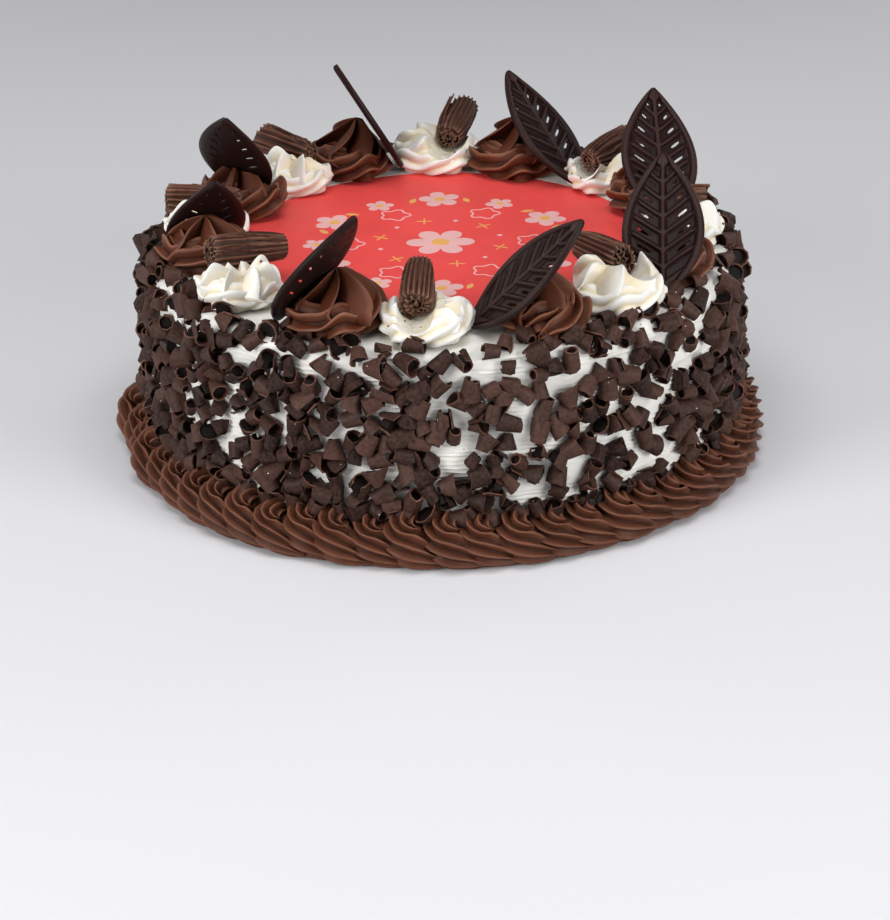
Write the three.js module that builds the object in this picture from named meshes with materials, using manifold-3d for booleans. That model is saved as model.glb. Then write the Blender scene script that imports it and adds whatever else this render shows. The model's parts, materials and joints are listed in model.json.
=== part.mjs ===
// A celebration cake: cream-coated round sponge with chocolate curls on its side, a piped
// chocolate border, a red icing disc, and a ring of sixteen piped rosettes that carry
// filigree chocolate leaves and rolled chocolate sticks in turn.
// Millimetres, +Z up. The origin is the middle of the flat underside; -Y is the front.
import * as THREE from 'three';
import { mergeVertices } from 'three/addons/utils/BufferGeometryUtils.js';
import Module from 'manifold-3d';

const wasm = await Module();
wasm.setup();

// ---- driving dimensions ---------------------------------------------------------------
const CAKE_RADIUS = 127; // a ten inch cake
const CAKE_HEIGHT = 90;
const CAKE_FACETS = 60;
const EDGE_ROUND = 6; // the smoothed top edge of the cream
const FIT_GAP = 0.3; // air between pieces that touch

const DISC_RADIUS = 90;
const DISC_THICKNESS = 0.9;
const DISC_RECESS = 1.2; // how far the disc is let into the cream

const RING_RADIUS = 104; // the usual distance of a rosette from the middle

const LEAF = { length: 67, width: 35, thickness: 2.8, rim: 3.6, stations: 6 };
const LEAF_CORNER = { low: 51.5, high: 59, inner: 1.6, outer: 6.5 };
const LEAF_SLIT = { at: 0.52, inner: 3, width: 1.6, margin: 1.5, climb: 9.5 };
const STICK = { ribs: 6, ribDepth: 1.5, unevenness: 0.6, twist: 20 };

// Ranges of the curls' sizes; band is the heights between which their middles lie, and
// bedding how deep each is pressed into the cream.
const CURL = { radius: [4, 4.9], length: [10, 13], sweep: [200, 280], taper: 0.14, wall: 1.1 };
const CURLS = { count: 140, band: [26, 84], bedding: 1.2 };

const BORDER = { strokes: 56, samples: 3, inner: 127.4, lean: 0.9 };

const degrees = THREE.MathUtils.degToRad;

// ---- finishes -------------------------------------------------------------------------
const finish = (color, roughness) => new THREE.MeshStandardMaterial({ color, roughness, metalness: 0 });
const CREAM = finish(0xe7e5de, 0.55);
const ICING = finish(0xe74e4a, 0.5);
const GANACHE = finish(0x583020, 0.5);
const BORDER_GANACHE = finish(0x532e1e, 0.5);
const DARK_CHOCOLATE = finish(0x271816, 0.4);
const MILK_CHOCOLATE = finish(0x5c3a2c, 0.6);

// ---- helpers --------------------------------------------------------------------------

// One seeded stream of numbers between 0 and 1.
function randomStream(seed) {
  let state = seed;
  return () => {
    state = (state + 0x6d2b79f5) | 0;
    let mixed = Math.imul(state ^ (state >>> 15), 1 | state);
    mixed = (mixed + Math.imul(mixed ^ (mixed >>> 7), 61 | mixed)) ^ mixed;
    return ((mixed ^ (mixed >>> 14)) >>> 0) / 4294967296;
  };
}

function geometryOf(positions, triangles) {
  const geometry = new THREE.BufferGeometry();
  geometry.setAttribute('position', new THREE.Float32BufferAttribute(positions, 3));
  geometry.setIndex(triangles);
  return geometry;
}

// Merges shared corners and drops the empty triangles that a lathe leaves on its axis.
function welded(geometry) {
  const bare = geometry.clone();
  bare.deleteAttribute('normal');
  bare.deleteAttribute('uv');
  const merged = mergeVertices(bare, 1e-4);
  const corners = merged.index.array;
  const kept = [];
  for (let i = 0; i < corners.length; i += 3) {
    const [a, b, c] = [corners[i], corners[i + 1], corners[i + 2]];
    if (a !== b && b !== c && c !== a) kept.push(a, b, c);
  }
  return geometryOf(merged.attributes.position.array, kept);
}

function solidOf(geometry) {
  const merged = welded(geometry);
  return new wasm.Manifold(new wasm.Mesh({
    numProp: 3,
    vertProperties: new Float32Array(merged.attributes.position.array),
    triVerts: new Uint32Array(merged.index.array),
  }));
}

function geometryFrom(solid) {
  const mesh = solid.getMesh();
  return geometryOf(Array.from(mesh.vertProperties), Array.from(mesh.triVerts));
}

// A cut or a join can leave a loose scrap or a sealed pocket; only the main body is kept.
function mainBody(solid) {
  return solid.decompose().reduce((best, piece) => (piece.volume() > best.volume() ? piece : best));
}

function cut(geometry, ...cutters) {
  const cutOut = cutters.reduce((solid, cutter) => solid.subtract(solidOf(cutter)), solidOf(geometry));
  return geometryFrom(mainBody(cutOut));
}

// A closed skin over a stack of rings with equal numbers of corners, counter-clockwise seen
// from the last ring. A ring of one corner is a tip.
function loft(rings) {
  const positions = [];
  const starts = rings.map((ring) => {
    const start = positions.length / 3;
    ring.forEach((corner) => positions.push(corner.x, corner.y, corner.z));
    return start;
  });
  const triangles = [];
  for (let level = 0; level + 1 < rings.length; level += 1) {
    const [low, high] = [starts[level], starts[level + 1]];
    const count = rings[level].length;
    for (let i = 0; i < count; i += 1) {
      const next = (i + 1) % count;
      if (rings[level + 1].length === 1) {
        triangles.push(low + i, low + next, high);
      } else {
        triangles.push(low + i, low + next, high + next, low + i, high + next, high + i);
      }
    }
  }
  capRing(rings[0], starts[0], true, triangles);
  const last = rings.length - 1;
  if (rings[last].length > 1) capRing(rings[last], starts[last], false, triangles);
  return geometryOf(positions, triangles);
}

function capRing(ring, start, facesDown, triangles) {
  const flat = ring.map((corner) => new THREE.Vector2(corner.x, corner.y));
  THREE.ShapeUtils.triangulateShape(flat, []).forEach(([a, b, c]) => {
    if (facesDown) triangles.push(start + a, start + c, start + b);
    else triangles.push(start + a, start + b, start + c);
  });
}

// The outward, along-the-ring and upward directions at an angle round the cake.
function ringFrame(angle) {
  return {
    out: new THREE.Vector3(Math.cos(degrees(angle)), Math.sin(degrees(angle)), 0),
    along: new THREE.Vector3(-Math.sin(degrees(angle)), Math.cos(degrees(angle)), 0),
    up: new THREE.Vector3(0, 0, 1),
  };
}

const polar = (radius, angle) => [radius * Math.cos(degrees(angle)), radius * Math.sin(degrees(angle))];

const blend = (...terms) => terms.reduce(
  (sum, [vector, amount]) => sum.addScaledVector(vector, amount),
  new THREE.Vector3(),
);

function placed(geometry, xAxis, yAxis, zAxis, origin) {
  const matrix = new THREE.Matrix4().makeBasis(xAxis, yAxis, zAxis).setPosition(origin);
  return geometry.clone().applyMatrix4(matrix);
}

// ---- the cake -------------------------------------------------------------------------

// A flat shape given a thickness, with its own plane in the middle.
function extruded(shape, depth) {
  return new THREE.ExtrudeGeometry(shape, { depth, bevelEnabled: false }).translate(0, 0, -depth / 2);
}

function latheAboutZ(profile, facets) {
  return new THREE.LatheGeometry(profile.map(([r, z]) => new THREE.Vector2(r, z)), facets)
    .rotateX(Math.PI / 2);
}

function cakeBody() {
  const round = EDGE_ROUND;
  return latheAboutZ([
    [0, 0],
    [CAKE_RADIUS, 0],
    [CAKE_RADIUS, CAKE_HEIGHT - round],
    [CAKE_RADIUS - 0.3 * round, CAKE_HEIGHT - 0.3 * round],
    [CAKE_RADIUS - round, CAKE_HEIGHT],
    [DISC_RADIUS + FIT_GAP, CAKE_HEIGHT],
    [DISC_RADIUS + FIT_GAP, CAKE_HEIGHT - DISC_RECESS],
    [0, CAKE_HEIGHT - DISC_RECESS],
  ], CAKE_FACETS);
}

// A chocolate curl: a shaving rolled part of the way round, a little wider at one end.
function curl({ radius, length, sweep, chords, taper }) {
  const arc = (arcRadius, share) => {
    const angle = degrees(sweep) * share;
    return new THREE.Vector2(Math.cos(angle), Math.sin(angle)).multiplyScalar(arcRadius);
  };
  const outline = [];
  for (let i = 0; i <= chords; i += 1) outline.push(arc(radius, i / chords));
  for (let i = chords; i >= 0; i -= 1) outline.push(arc(radius - CURL.wall, i / chords));
  const geometry = extruded(new THREE.Shape(outline), length);
  const corner = geometry.attributes.position;
  for (let i = 0; i < corner.count; i += 1) {
    const widen = 1 + taper * Math.sign(corner.getZ(i));
    corner.setXY(i, corner.getX(i) * widen, corner.getY(i) * widen);
  }
  return geometry;
}

// Turns a curl any way round, then pushes it in until its deepest corner is bedded.
function pressedCurl(random, angle, height, chords) {
  const geometry = curl({
    radius: THREE.MathUtils.lerp(...CURL.radius, random()),
    length: THREE.MathUtils.lerp(...CURL.length, random()),
    sweep: THREE.MathUtils.lerp(...CURL.sweep, random()),
    chords,
    taper: CURL.taper * random(),
  });
  geometry.rotateZ(2 * Math.PI * random());
  geometry.rotateX((0.5 + 0.5 * random()) * (Math.PI / 2));
  geometry.rotateZ(2 * Math.PI * random());
  // The turned curl's Z becomes the way out of the wall.
  const { out, along, up } = ringFrame(angle);
  const standing = placed(geometry, along, up, out, blend([out, CAKE_RADIUS], [up, height]));
  const corner = standing.attributes.position;
  let deepest = Infinity;
  for (let i = 0; i < corner.count; i += 1) {
    deepest = Math.min(deepest, Math.hypot(corner.getX(i), corner.getY(i)));
  }
  const push = CAKE_RADIUS - CURLS.bedding - deepest;
  return standing.translate(out.x * push, out.y * push, 0);
}

// The curls follow a golden-angle spiral up the side, which spreads any number evenly.
function cakeWithCurls() {
  const random = randomStream(11);
  const goldenAngle = 137.508;
  let solid = solidOf(cakeBody());
  for (let i = 0; i < CURLS.count; i += 1) {
    const share = (i + 0.5) / CURLS.count;
    const height = THREE.MathUtils.lerp(...CURLS.band, share);
    const chords = i % 3 ? 3 : 2;
    solid = solid.add(solidOf(pressedCurl(random, i * goldenAngle, height, chords)));
  }
  return geometryFrom(mainBody(solid));
}

function icingDisc() {
  const low = CAKE_HEIGHT - DISC_RECESS + FIT_GAP;
  return latheAboutZ([
    [0, low],
    [DISC_RADIUS, low],
    [DISC_RADIUS, low + DISC_THICKNESS],
    [0, low + DISC_THICKNESS],
  ], CAKE_FACETS);
}

// ---- the piped border -----------------------------------------------------------------

// Each stroke is fat where it starts on the cake and runs out to a low tail that leans
// counter-clockwise and tucks in under it. Its rise goes from 0 in the groove beside it to 1
// on its crest.
function pipedBorder() {
  const { strokes, samples, inner, lean } = BORDER;
  const rises = [0, 1, 0.62];
  const profile = [
    { radius: inner, flare: 0, height: 0, rise: 0, sweep: 0 },
    { radius: inner, flare: 0, height: 13, rise: 4, sweep: 0 },
    { radius: inner + 4, flare: 0, height: 14, rise: 5, sweep: 0.1 },
    { radius: inner + 10.5, flare: 3, height: 9, rise: 3.5, sweep: 0.45 },
    { radius: inner + 11.5, flare: 5, height: 4, rise: 1.5, sweep: 0.8 },
    { radius: inner + 8, flare: 4, height: 0, rise: 0, sweep: 1 },
  ];
  const positions = [];
  const sections = strokes * samples;
  for (let section = 0; section < sections; section += 1) {
    const rise = rises[section % samples];
    for (const point of profile) {
      const turn = (section / samples + point.sweep * lean) / strokes;
      const radius = point.radius + point.flare * rise;
      const [x, y] = polar(radius, 360 * turn);
      positions.push(x, y, point.height + point.rise * rise);
    }
  }
  const triangles = [];
  for (let section = 0; section < sections; section += 1) {
    const here = section * profile.length;
    const there = ((section + 1) % sections) * profile.length;
    for (let i = 0; i < profile.length; i += 1) {
      const next = (i + 1) % profile.length;
      triangles.push(here + i, here + next, there + next, here + i, there + next, there + i);
    }
  }
  return geometryOf(positions, triangles);
}

// ---- rosettes -------------------------------------------------------------------------

// Levels of a piped star, from the foot up: share of height, share of radius, groove depth.
const CHOCOLATE_LEVELS = [
  [0, 0.86, 0.2], [0.14, 1, 0.24], [0.38, 0.95, 0.28],
  [0.52, 0.7, 0.3], [0.76, 0.45, 0.34], [0.92, 0.18, 0.3],
];
const CREAM_LEVELS = [[0, 0.88, 0.2], [0.25, 1, 0.26], [0.6, 0.88, 0.3], [0.85, 0.5, 0.34]];
const CHOCOLATE_ROSETTE = { height: 27, lobes: 7, twist: 70, levels: CHOCOLATE_LEVELS };
const CREAM_ROSETTE = { radius: 21.5, height: 19, lobes: 6, twist: 60, levels: CREAM_LEVELS };

// The ring, piped by hand and so a little uneven. Each pair is a cream rosette and the
// chocolate one after it: angles in degrees counter-clockwise from +X, ring the distance
// from the middle, radius how wide the chocolate one is.
const PAIRS = [
  { cream: { angle: -93, ring: 104 }, chocolate: { angle: -69, ring: 104, radius: 23.5 } },
  { cream: { angle: -46, ring: 104 }, chocolate: { angle: -24, ring: 104, radius: 23 } },
  { cream: { angle: -1, ring: 104 }, chocolate: { angle: 21.5, ring: 103, radius: 23 } },
  { cream: { angle: 41.5, ring: 101 }, chocolate: { angle: 68, ring: 103, radius: 23.5 } },
  { cream: { angle: 90, ring: 104 }, chocolate: { angle: 113, ring: 103, radius: 21.5 } },
  { cream: { angle: 131.5, ring: 98 }, chocolate: { angle: 153, ring: 100, radius: 22.5 } },
  { cream: { angle: 173, ring: 104 }, chocolate: { angle: 191, ring: 104, radius: 22.5 } },
  { cream: { angle: 217, ring: 104 }, chocolate: { angle: 246, ring: 104, radius: 25 } },
];

// A star-section swirl that twists as it narrows to its peak. Its reach along the ring is
// held in on each side by the given limits, where its neighbours press on it.
function rosette({ radius, height, lobes, twist, levels }, { angle, ring }, limits = [radius, radius]) {
  const rings = levels.map(([rise, reach, groove]) => {
    const corners = [];
    for (let i = 0; i < 2 * lobes; i += 1) {
      const [x, y] = polar(reach * (i % 2 ? 1 - groove : 1), twist * rise + (i * 180) / lobes);
      const limit = Math.min(radius, limits[y < 0 ? 0 : 1]);
      corners.push(new THREE.Vector3(radius * x, limit * y, rise * height));
    }
    return corners;
  });
  rings.push([new THREE.Vector3(0, 0, height)]);
  const { out, along, up } = ringFrame(angle);
  return placed(loft(rings), out, along, up, blend([out, ring], [up, CAKE_HEIGHT + FIT_GAP]));
}

function chocolateRosette({ chocolate }) {
  return rosette({ ...CHOCOLATE_ROSETTE, radius: chocolate.radius }, chocolate);
}

// A cream rosette fills what its two chocolate neighbours leave of the ring.
function creamRosette({ cream, chocolate }, before) {
  const room = (neighbour) => {
    const [x, y] = polar(cream.ring, cream.angle);
    const [besideX, besideY] = polar(neighbour.ring, neighbour.angle);
    return Math.hypot(besideX - x, besideY - y) - neighbour.radius - 2 * FIT_GAP;
  };
  return rosette(CREAM_ROSETTE, cream, [room(before.chocolate), room(chocolate)]);
}

// ---- leaves ---------------------------------------------------------------------------

// How each leaf stands, in order round the ring: back is how far its foot lies behind the
// middle of its rosette, out is towards the rim, lift is above the cream; lean is from
// upright along the ring, turn swings it about the upright and roll about its own midrib.
// One is pushed in through the cream: its lift is negative, and only what stands out is made.
const LEAF_POSES = [
  { back: 26, out: -6, lift: 2, lean: 45, turn: 32, roll: 22 },
  { back: 28, out: 8, lift: 1, lean: 46, turn: -18, roll: -6 },
  { back: 20, out: -6, lift: 2, lean: 49, turn: 21, roll: 11 },
  { back: 35, out: -21, lift: 1, lean: 51, turn: 32, roll: 15 },
  { back: 21, out: -12, lift: 1.5, lean: 32, turn: -10, roll: -17 },
  { back: 15, out: 2, lift: 2, lean: 41, turn: -19, roll: -16 },
  { back: 32, out: -1, lift: -11, lean: 40, turn: -6, roll: -1 },
  { back: 25, out: 5, lift: 2, lean: 38, turn: 12, roll: -2 },
];

// Half the leaf's width at a share of its length: a pointed oval, fullest below the middle.
function halfLeaf(share) {
  return (LEAF.width / 2) * Math.sin(Math.PI * share ** 0.87) ** 0.8;
}

// The flat leaf stands on its foot along +Y with its ribbed face towards +Z.
function leafPlate(grown = 0) {
  const outline = [new THREE.Vector2(0, -grown)];
  for (let i = 1; i < LEAF.stations; i += 1) {
    const share = i / LEAF.stations;
    outline.push(new THREE.Vector2(halfLeaf(share) + grown, share * LEAF.length));
  }
  outline.push(new THREE.Vector2(0, LEAF.length + grown));
  for (let i = LEAF.stations - 1; i > 0; i -= 1) {
    const share = i / LEAF.stations;
    outline.push(new THREE.Vector2(-halfLeaf(share) - grown, share * LEAF.length));
  }
  const shape = new THREE.Shape(outline);
  if (grown === 0) shape.holes.push(...leafOpenings());
  const depth = LEAF.thickness + 2 * grown;
  return new THREE.ExtrudeGeometry(shape, { depth, bevelEnabled: false }).translate(0, 0, -depth / 2);
}

// Two open corners by the tip and, below them, a slit on each side that follows the veins.
function leafOpenings() {
  const { low, high, inner, outer } = LEAF_CORNER;
  const slitLow = LEAF_SLIT.at * LEAF.length;
  const slitReach = halfLeaf(LEAF_SLIT.at) - LEAF.rim - LEAF_SLIT.margin;
  const slitEnd = slitLow + LEAF_SLIT.climb;
  const outlines = [
    [[inner, low], [inner, high], [outer, low + (high - low) / 4]],
    [
      [LEAF_SLIT.inner, slitLow],
      [LEAF_SLIT.inner, slitLow + LEAF_SLIT.width],
      [slitReach, slitEnd + LEAF_SLIT.width],
      [slitReach, slitEnd],
    ],
  ];
  const pathOn = (side, outline) => (
    new THREE.Path(outline.map(([x, y]) => new THREE.Vector2(side * x, y)))
  );
  return outlines.flatMap((outline) => [pathOn(1, outline), pathOn(-1, outline)]);
}

function standingLeaf(angle, pose, grown = 0) {
  const { out, along, up } = ringFrame(angle);
  const [lean, turn, roll] = [pose.lean, pose.turn, pose.roll].map(degrees);
  const forward = blend([along, Math.cos(turn)], [out, Math.sin(turn)]);
  const sideways = blend([out, Math.cos(turn)], [along, -Math.sin(turn)]);
  const midrib = blend([up, Math.cos(lean)], [forward, Math.sin(lean)]);
  const facing = new THREE.Vector3().crossVectors(midrib, sideways);
  const across = blend([sideways, Math.cos(roll)], [facing, Math.sin(roll)]);
  const face = new THREE.Vector3().crossVectors(across, midrib);
  const foot = blend([out, RING_RADIUS + pose.out], [along, -pose.back], [up, CAKE_HEIGHT + pose.lift]);
  const leaf = placed(leafPlate(grown), across, midrib, face, foot);
  if (pose.lift > 0) return leaf;
  return geometryFrom(solidOf(leaf).trimByPlane([0, 0, 1], CAKE_HEIGHT + FIT_GAP));
}

// ---- sticks ---------------------------------------------------------------------------

// How each stick lies on its cream rosette: inner and side are where its inner end is, out
// from the cake's middle and along the ring, lift its middle's height above the cream, rise
// its slope outwards and turn its swing away from the radius.
const STICK_POSES = [
  { radius: 8, length: 25, inner: 82, side: -4, lift: 17.5, rise: -18, turn: -2 },
  { radius: 8.5, length: 28, inner: 74, side: 11, lift: 15.5, rise: 0, turn: -9 },
  { radius: 8, length: 32, inner: 84, side: 7, lift: 15, rise: 0, turn: 0 },
  { radius: 8, length: 33, inner: 91, side: 0, lift: 15, rise: 3, turn: 12 },
  { radius: 8.5, length: 28, inner: 98, side: -5, lift: 17.5, rise: 12, turn: -17 },
  { radius: 7.5, length: 30, inner: 99, side: -9, lift: 15, rise: 3, turn: 8 },
  { radius: 7.5, length: 32, inner: 89, side: -5, lift: 15, rise: 0, turn: 0 },
  { radius: 8.3, length: 34, inner: 77, side: -9, lift: 16.5, rise: 6, turn: -9 },
];

// A rolled and folded bar: a ribbed round section that differs a little from end to end.
function stickBar(radius, length, turn, grown = 0) {
  const rings = [0, 1].map((end) => {
    const ring = [];
    for (let i = 0; i < 2 * STICK.ribs; i += 1) {
      const rib = i % 2 ? -STICK.ribDepth : 0;
      const uneven = STICK.unevenness * Math.sin(3 * i + 5 * end);
      const around = turn + STICK.twist * end + (i * 180) / STICK.ribs;
      const [x, y] = polar(radius + rib + uneven + grown, around);
      ring.push(new THREE.Vector3(x, y, end ? length + grown : -grown));
    }
    return ring;
  });
  return loft(rings);
}

function lyingStick(angle, pose, grown = 0) {
  const { out, along, up } = ringFrame(angle);
  const [rise, turn] = [degrees(pose.rise), degrees(pose.turn)];
  const level = blend([out, Math.cos(turn)], [along, Math.sin(turn)]);
  const axis = blend([level, Math.cos(rise)], [up, Math.sin(rise)]);
  const across = blend([along, Math.cos(turn)], [out, -Math.sin(turn)]);
  const over = new THREE.Vector3().crossVectors(axis, across);
  const drop = (pose.length / 2) * Math.sin(rise);
  const start = blend([out, pose.inner], [along, pose.side], [up, CAKE_HEIGHT + pose.lift - drop]);
  return placed(stickBar(pose.radius, pose.length, angle, grown), across, over, axis, start);
}

// ---- the whole ------------------------------------------------------------------------

const cake = new THREE.Group();

function addPiece(name, geometry, material) {
  const mesh = new THREE.Mesh(welded(geometry), material);
  mesh.name = name;
  cake.add(mesh);
}

addPiece('cake', cakeWithCurls(), CREAM);
addPiece('icing_disc', icingDisc(), ICING);
addPiece('base_border', pipedBorder(), BORDER_GANACHE);

PAIRS.forEach((pair, index) => {
  const number = index + 1;
  const indexBefore = (index + PAIRS.length - 1) % PAIRS.length;
  const before = PAIRS[indexBefore];
  const [leafPose, stickPose] = [LEAF_POSES[index], STICK_POSES[index]];
  const leafCutter = standingLeaf(pair.chocolate.angle, leafPose, FIT_GAP);
  const leafBeforeCutter = standingLeaf(before.chocolate.angle, LEAF_POSES[indexBefore], FIT_GAP);
  const stickCutter = lyingStick(pair.cream.angle, stickPose, FIT_GAP);

  addPiece(`leaf_${number}`, standingLeaf(pair.chocolate.angle, leafPose), DARK_CHOCOLATE);
  addPiece(`choc_stick_${number}`, lyingStick(pair.cream.angle, stickPose), MILK_CHOCOLATE);
  addPiece(`choc_rosette_${number}`, cut(chocolateRosette(pair), leafCutter), GANACHE);
  addPiece(
    `cream_rosette_${number}`,
    cut(creamRosette(pair, before), stickCutter, leafCutter, leafBeforeCutter),
    CREAM,
  );
});

export default cake;
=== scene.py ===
"""A celebration cake: combed cream coat with chocolate curls, a piped border, a printed icing
disc, and a ring of piped rosettes that carry filigree chocolate leaves and folded sticks.

Lengths are in metres, +Z is up and the front faces -Y. Each group of pieces has an operator,
and the sizes and colours that a baker would change are properties of the scene.
"""

import json
import math
from dataclasses import dataclass

import bmesh
import bpy
import numpy as np
from mathutils import Matrix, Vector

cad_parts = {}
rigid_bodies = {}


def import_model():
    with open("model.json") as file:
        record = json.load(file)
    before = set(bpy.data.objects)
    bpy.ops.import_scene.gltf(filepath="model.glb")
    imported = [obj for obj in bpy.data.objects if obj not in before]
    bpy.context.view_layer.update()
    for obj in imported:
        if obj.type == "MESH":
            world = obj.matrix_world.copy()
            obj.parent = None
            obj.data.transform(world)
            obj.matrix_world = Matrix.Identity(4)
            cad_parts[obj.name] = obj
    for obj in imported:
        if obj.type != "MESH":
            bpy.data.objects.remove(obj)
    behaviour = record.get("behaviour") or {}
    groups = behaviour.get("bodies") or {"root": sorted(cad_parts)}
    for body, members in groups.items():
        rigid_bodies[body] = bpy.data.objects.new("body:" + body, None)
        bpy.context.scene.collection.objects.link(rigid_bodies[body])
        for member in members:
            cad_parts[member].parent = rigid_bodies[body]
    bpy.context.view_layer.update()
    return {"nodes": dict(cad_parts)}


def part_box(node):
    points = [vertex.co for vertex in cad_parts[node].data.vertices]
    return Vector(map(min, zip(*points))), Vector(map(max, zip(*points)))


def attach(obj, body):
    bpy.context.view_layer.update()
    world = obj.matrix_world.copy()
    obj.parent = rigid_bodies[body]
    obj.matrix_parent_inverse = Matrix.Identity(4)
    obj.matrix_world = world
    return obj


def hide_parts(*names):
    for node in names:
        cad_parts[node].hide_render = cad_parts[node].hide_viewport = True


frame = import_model()

bl_info = {
    "name": "Celebration cake",
    "version": (1, 0, 0),
    "blender": (4, 5, 0),
    "location": "3D View > Sidebar > Cake",
    "description": "Builds the looks of a chocolate celebration cake around its solids",
    "category": "Object",
}

# ---- driving dimensions -----------------------------------------------------------------

MM = 0.001
CAKE_RADIUS = 127 * MM
CAKE_HEIGHT = 90 * MM
EDGE_ROUND = 6 * MM
DISC_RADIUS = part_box("icing_disc")[1].x
DISC_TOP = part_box("icing_disc")[1].z
DISC_RECESS = 1.2 * MM
FIT_GAP = 0.3 * MM
LEAF_LENGTH = 67 * MM
LEAF_WIDTH = 35 * MM
LEAF_THICKNESS = 2.8 * MM
LEAF_RIM = 3.4 * MM
BODY = "root"
PLACES = 8  # how many rosettes of each kind, leaves and sticks the ring has


@dataclass
class Rosette:
    """One piped rosette: where it stands on the ring, and how the bag was turned over it.

    Teeth is how far its petals stand up at the top, as a share of its height.
    """

    angle: float
    ring: float
    radius: float
    height: float = 26 * MM
    lobes: int = 6
    twist: float = 60
    hook: float = 60
    depth: float = 0.70
    teeth: float = 0.0
    seed: int = 1


CHOCOLATE_ROSETTES = [
    Rosette(-69, 104 * MM, 23.5 * MM, twist=70, hook=50, seed=1),
    Rosette(-24, 104 * MM, 23 * MM, twist=75, hook=50, seed=2),
    Rosette(21.5, 103 * MM, 23 * MM, twist=80, hook=50, seed=3),
    Rosette(68, 101 * MM, 24 * MM, twist=125, hook=20, seed=4),
    Rosette(113, 101 * MM, 23.5 * MM, twist=105, hook=70, seed=5),
    Rosette(153, 99 * MM, 24.5 * MM, 24 * MM, twist=30, hook=35, seed=6),
    Rosette(191, 102 * MM, 22.5 * MM, 23 * MM, twist=35, hook=25, seed=7),
    Rosette(246, 104 * MM, 25 * MM, lobes=7, twist=70, hook=55, seed=8),
]

# Angle, ring, radius and height in millimetres, then the lobes, twist, hook, depth and teeth.
CREAM_ROSETTES = [
    Rosette(angle, ring * MM, radius * MM, height * MM, *shape, seed=11 + place)
    for place, (angle, ring, radius, height, *shape) in enumerate([
        (-93, 104, 22.5, 16, 5, 25, 20, 0.40, 0.10),
        (-46, 104, 22, 22, 6, 60, 60, 0.32, 0.10),
        (-1, 104, 21, 18, 6, 40, 30, 0.42, 0.25),
        (41.5, 101, 20, 18, 6, 60, 40, 0.42, 0.25),
        (90, 102, 22.5, 18, 6, 60, 30, 0.28, 0.06),
        (131.5, 98, 19, 18, 6, 20, 10, 0.42, 0.35),
        (173, 104, 20, 18, 6, 40, 30, 0.42, 0.25),
        (217, 104, 21.5, 16, 7, 22, 40, 0.46, 0.50),
    ])
]


# ---- mesh helpers -----------------------------------------------------------------------

def hashed(cells):
    """An even draw between -1 and 1 for each lattice cell, always the same one."""
    mixed = (cells[:, 0] * 73856093) ^ (cells[:, 1] * 19349663) ^ (cells[:, 2] * 83492791)
    mixed = ((mixed ^ (mixed >> 13)) * 1274126177) & 0x7FFFFFFF
    mixed = ((mixed ^ (mixed >> 15)) * 2246822519) & 0x7FFFFFFF
    return mixed / 0x3FFFFFFF - 1


def smooth_noise(points, size, seed=0):
    """Smooth noise between -1 and 1 at each point, with bumps about that size across."""
    scaled = np.asarray(points, float) / size + seed * 17.31
    cell = np.floor(scaled).astype(np.int64)
    part = scaled - cell
    ease = part * part * (3 - 2 * part)
    total = np.zeros(len(scaled))
    for corner in np.ndindex(2, 2, 2):
        corner = np.array(corner)
        share = np.prod(np.where(corner == 1, ease, 1 - ease), axis=1)
        total += share * hashed(cell + corner)
    return total


def smooth_line(knots, count):
    """That many points on a smooth line through the knots, evenly spaced by knot."""
    knots = np.asarray(knots, float)
    padded = np.vstack([2 * knots[0] - knots[1], knots, 2 * knots[-1] - knots[-2]])
    along = np.linspace(0, len(knots) - 1, count)
    step = np.minimum(along.astype(int), len(knots) - 2)
    t = (along - step)[:, None]
    a, b, c, d = (padded[step + i] for i in range(4))
    return 0.5 * (2 * b + (c - a) * t + (2 * a - 5 * b + 4 * c - d) * t**2
                  + (3 * b - a - 3 * c + d) * t**3)


def ring_quads(rows, columns, closed=True):
    """Quads over rows of points, outward where columns run counter-clockwise going up."""
    across = np.arange(columns if closed else columns - 1)
    low = (np.arange(rows - 1)[:, None] * columns + across).ravel()
    beside = (np.arange(rows - 1)[:, None] * columns + (across + 1) % columns).ravel()
    return np.stack([low, beside, beside + columns, low + columns], axis=1)


def pole_fan(first, columns, pole, facing_down):
    """Triangles that close a ring of points with the point at its middle."""
    ring = first + np.arange(columns)
    beside = first + (np.arange(columns) + 1) % columns
    middle = np.full(columns, pole)
    order = [beside, ring, middle] if facing_down else [ring, beside, middle]
    return np.stack(order, axis=1)


def capped_rings(points):
    """Points and faces of a closed skin over an array of rings, with a pole at each end."""
    rows, columns, _ = points.shape
    flat = points.reshape(-1, 3)
    poles = np.array([points[0].mean(axis=0), points[-1].mean(axis=0)])
    count = rows * columns
    faces = ring_quads(rows, columns).tolist()
    faces += pole_fan(0, columns, count, True).tolist()
    faces += pole_fan(count - columns, columns, count + 1, False).tolist()
    return np.vstack([flat, poles]), faces


def new_piece(name, points, faces, material=None, sharp=None, **attributes):
    """A smooth mesh object with its place in its mesh, and one number a point by name."""
    mesh = bpy.data.meshes.new(name)
    mesh.from_pydata(np.asarray(points).tolist(), [], faces)
    mesh.shade_smooth()
    if sharp is not None:
        mesh.set_sharp_from_angle(angle=math.radians(sharp))
    for label, values in attributes.items():
        layer = mesh.attributes.new(label, "FLOAT", "POINT")
        layer.data.foreach_set("value", np.asarray(values, np.float32))
    if material is not None:
        mesh.materials.append(material)
    piece = bpy.data.objects.new(name, mesh)
    bpy.context.scene.collection.objects.link(piece)
    return piece


def settle(piece, nodes):
    """The piece rides on the cake and stands for those solids."""
    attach(piece, BODY)
    if nodes:
        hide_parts(*nodes)


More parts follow.
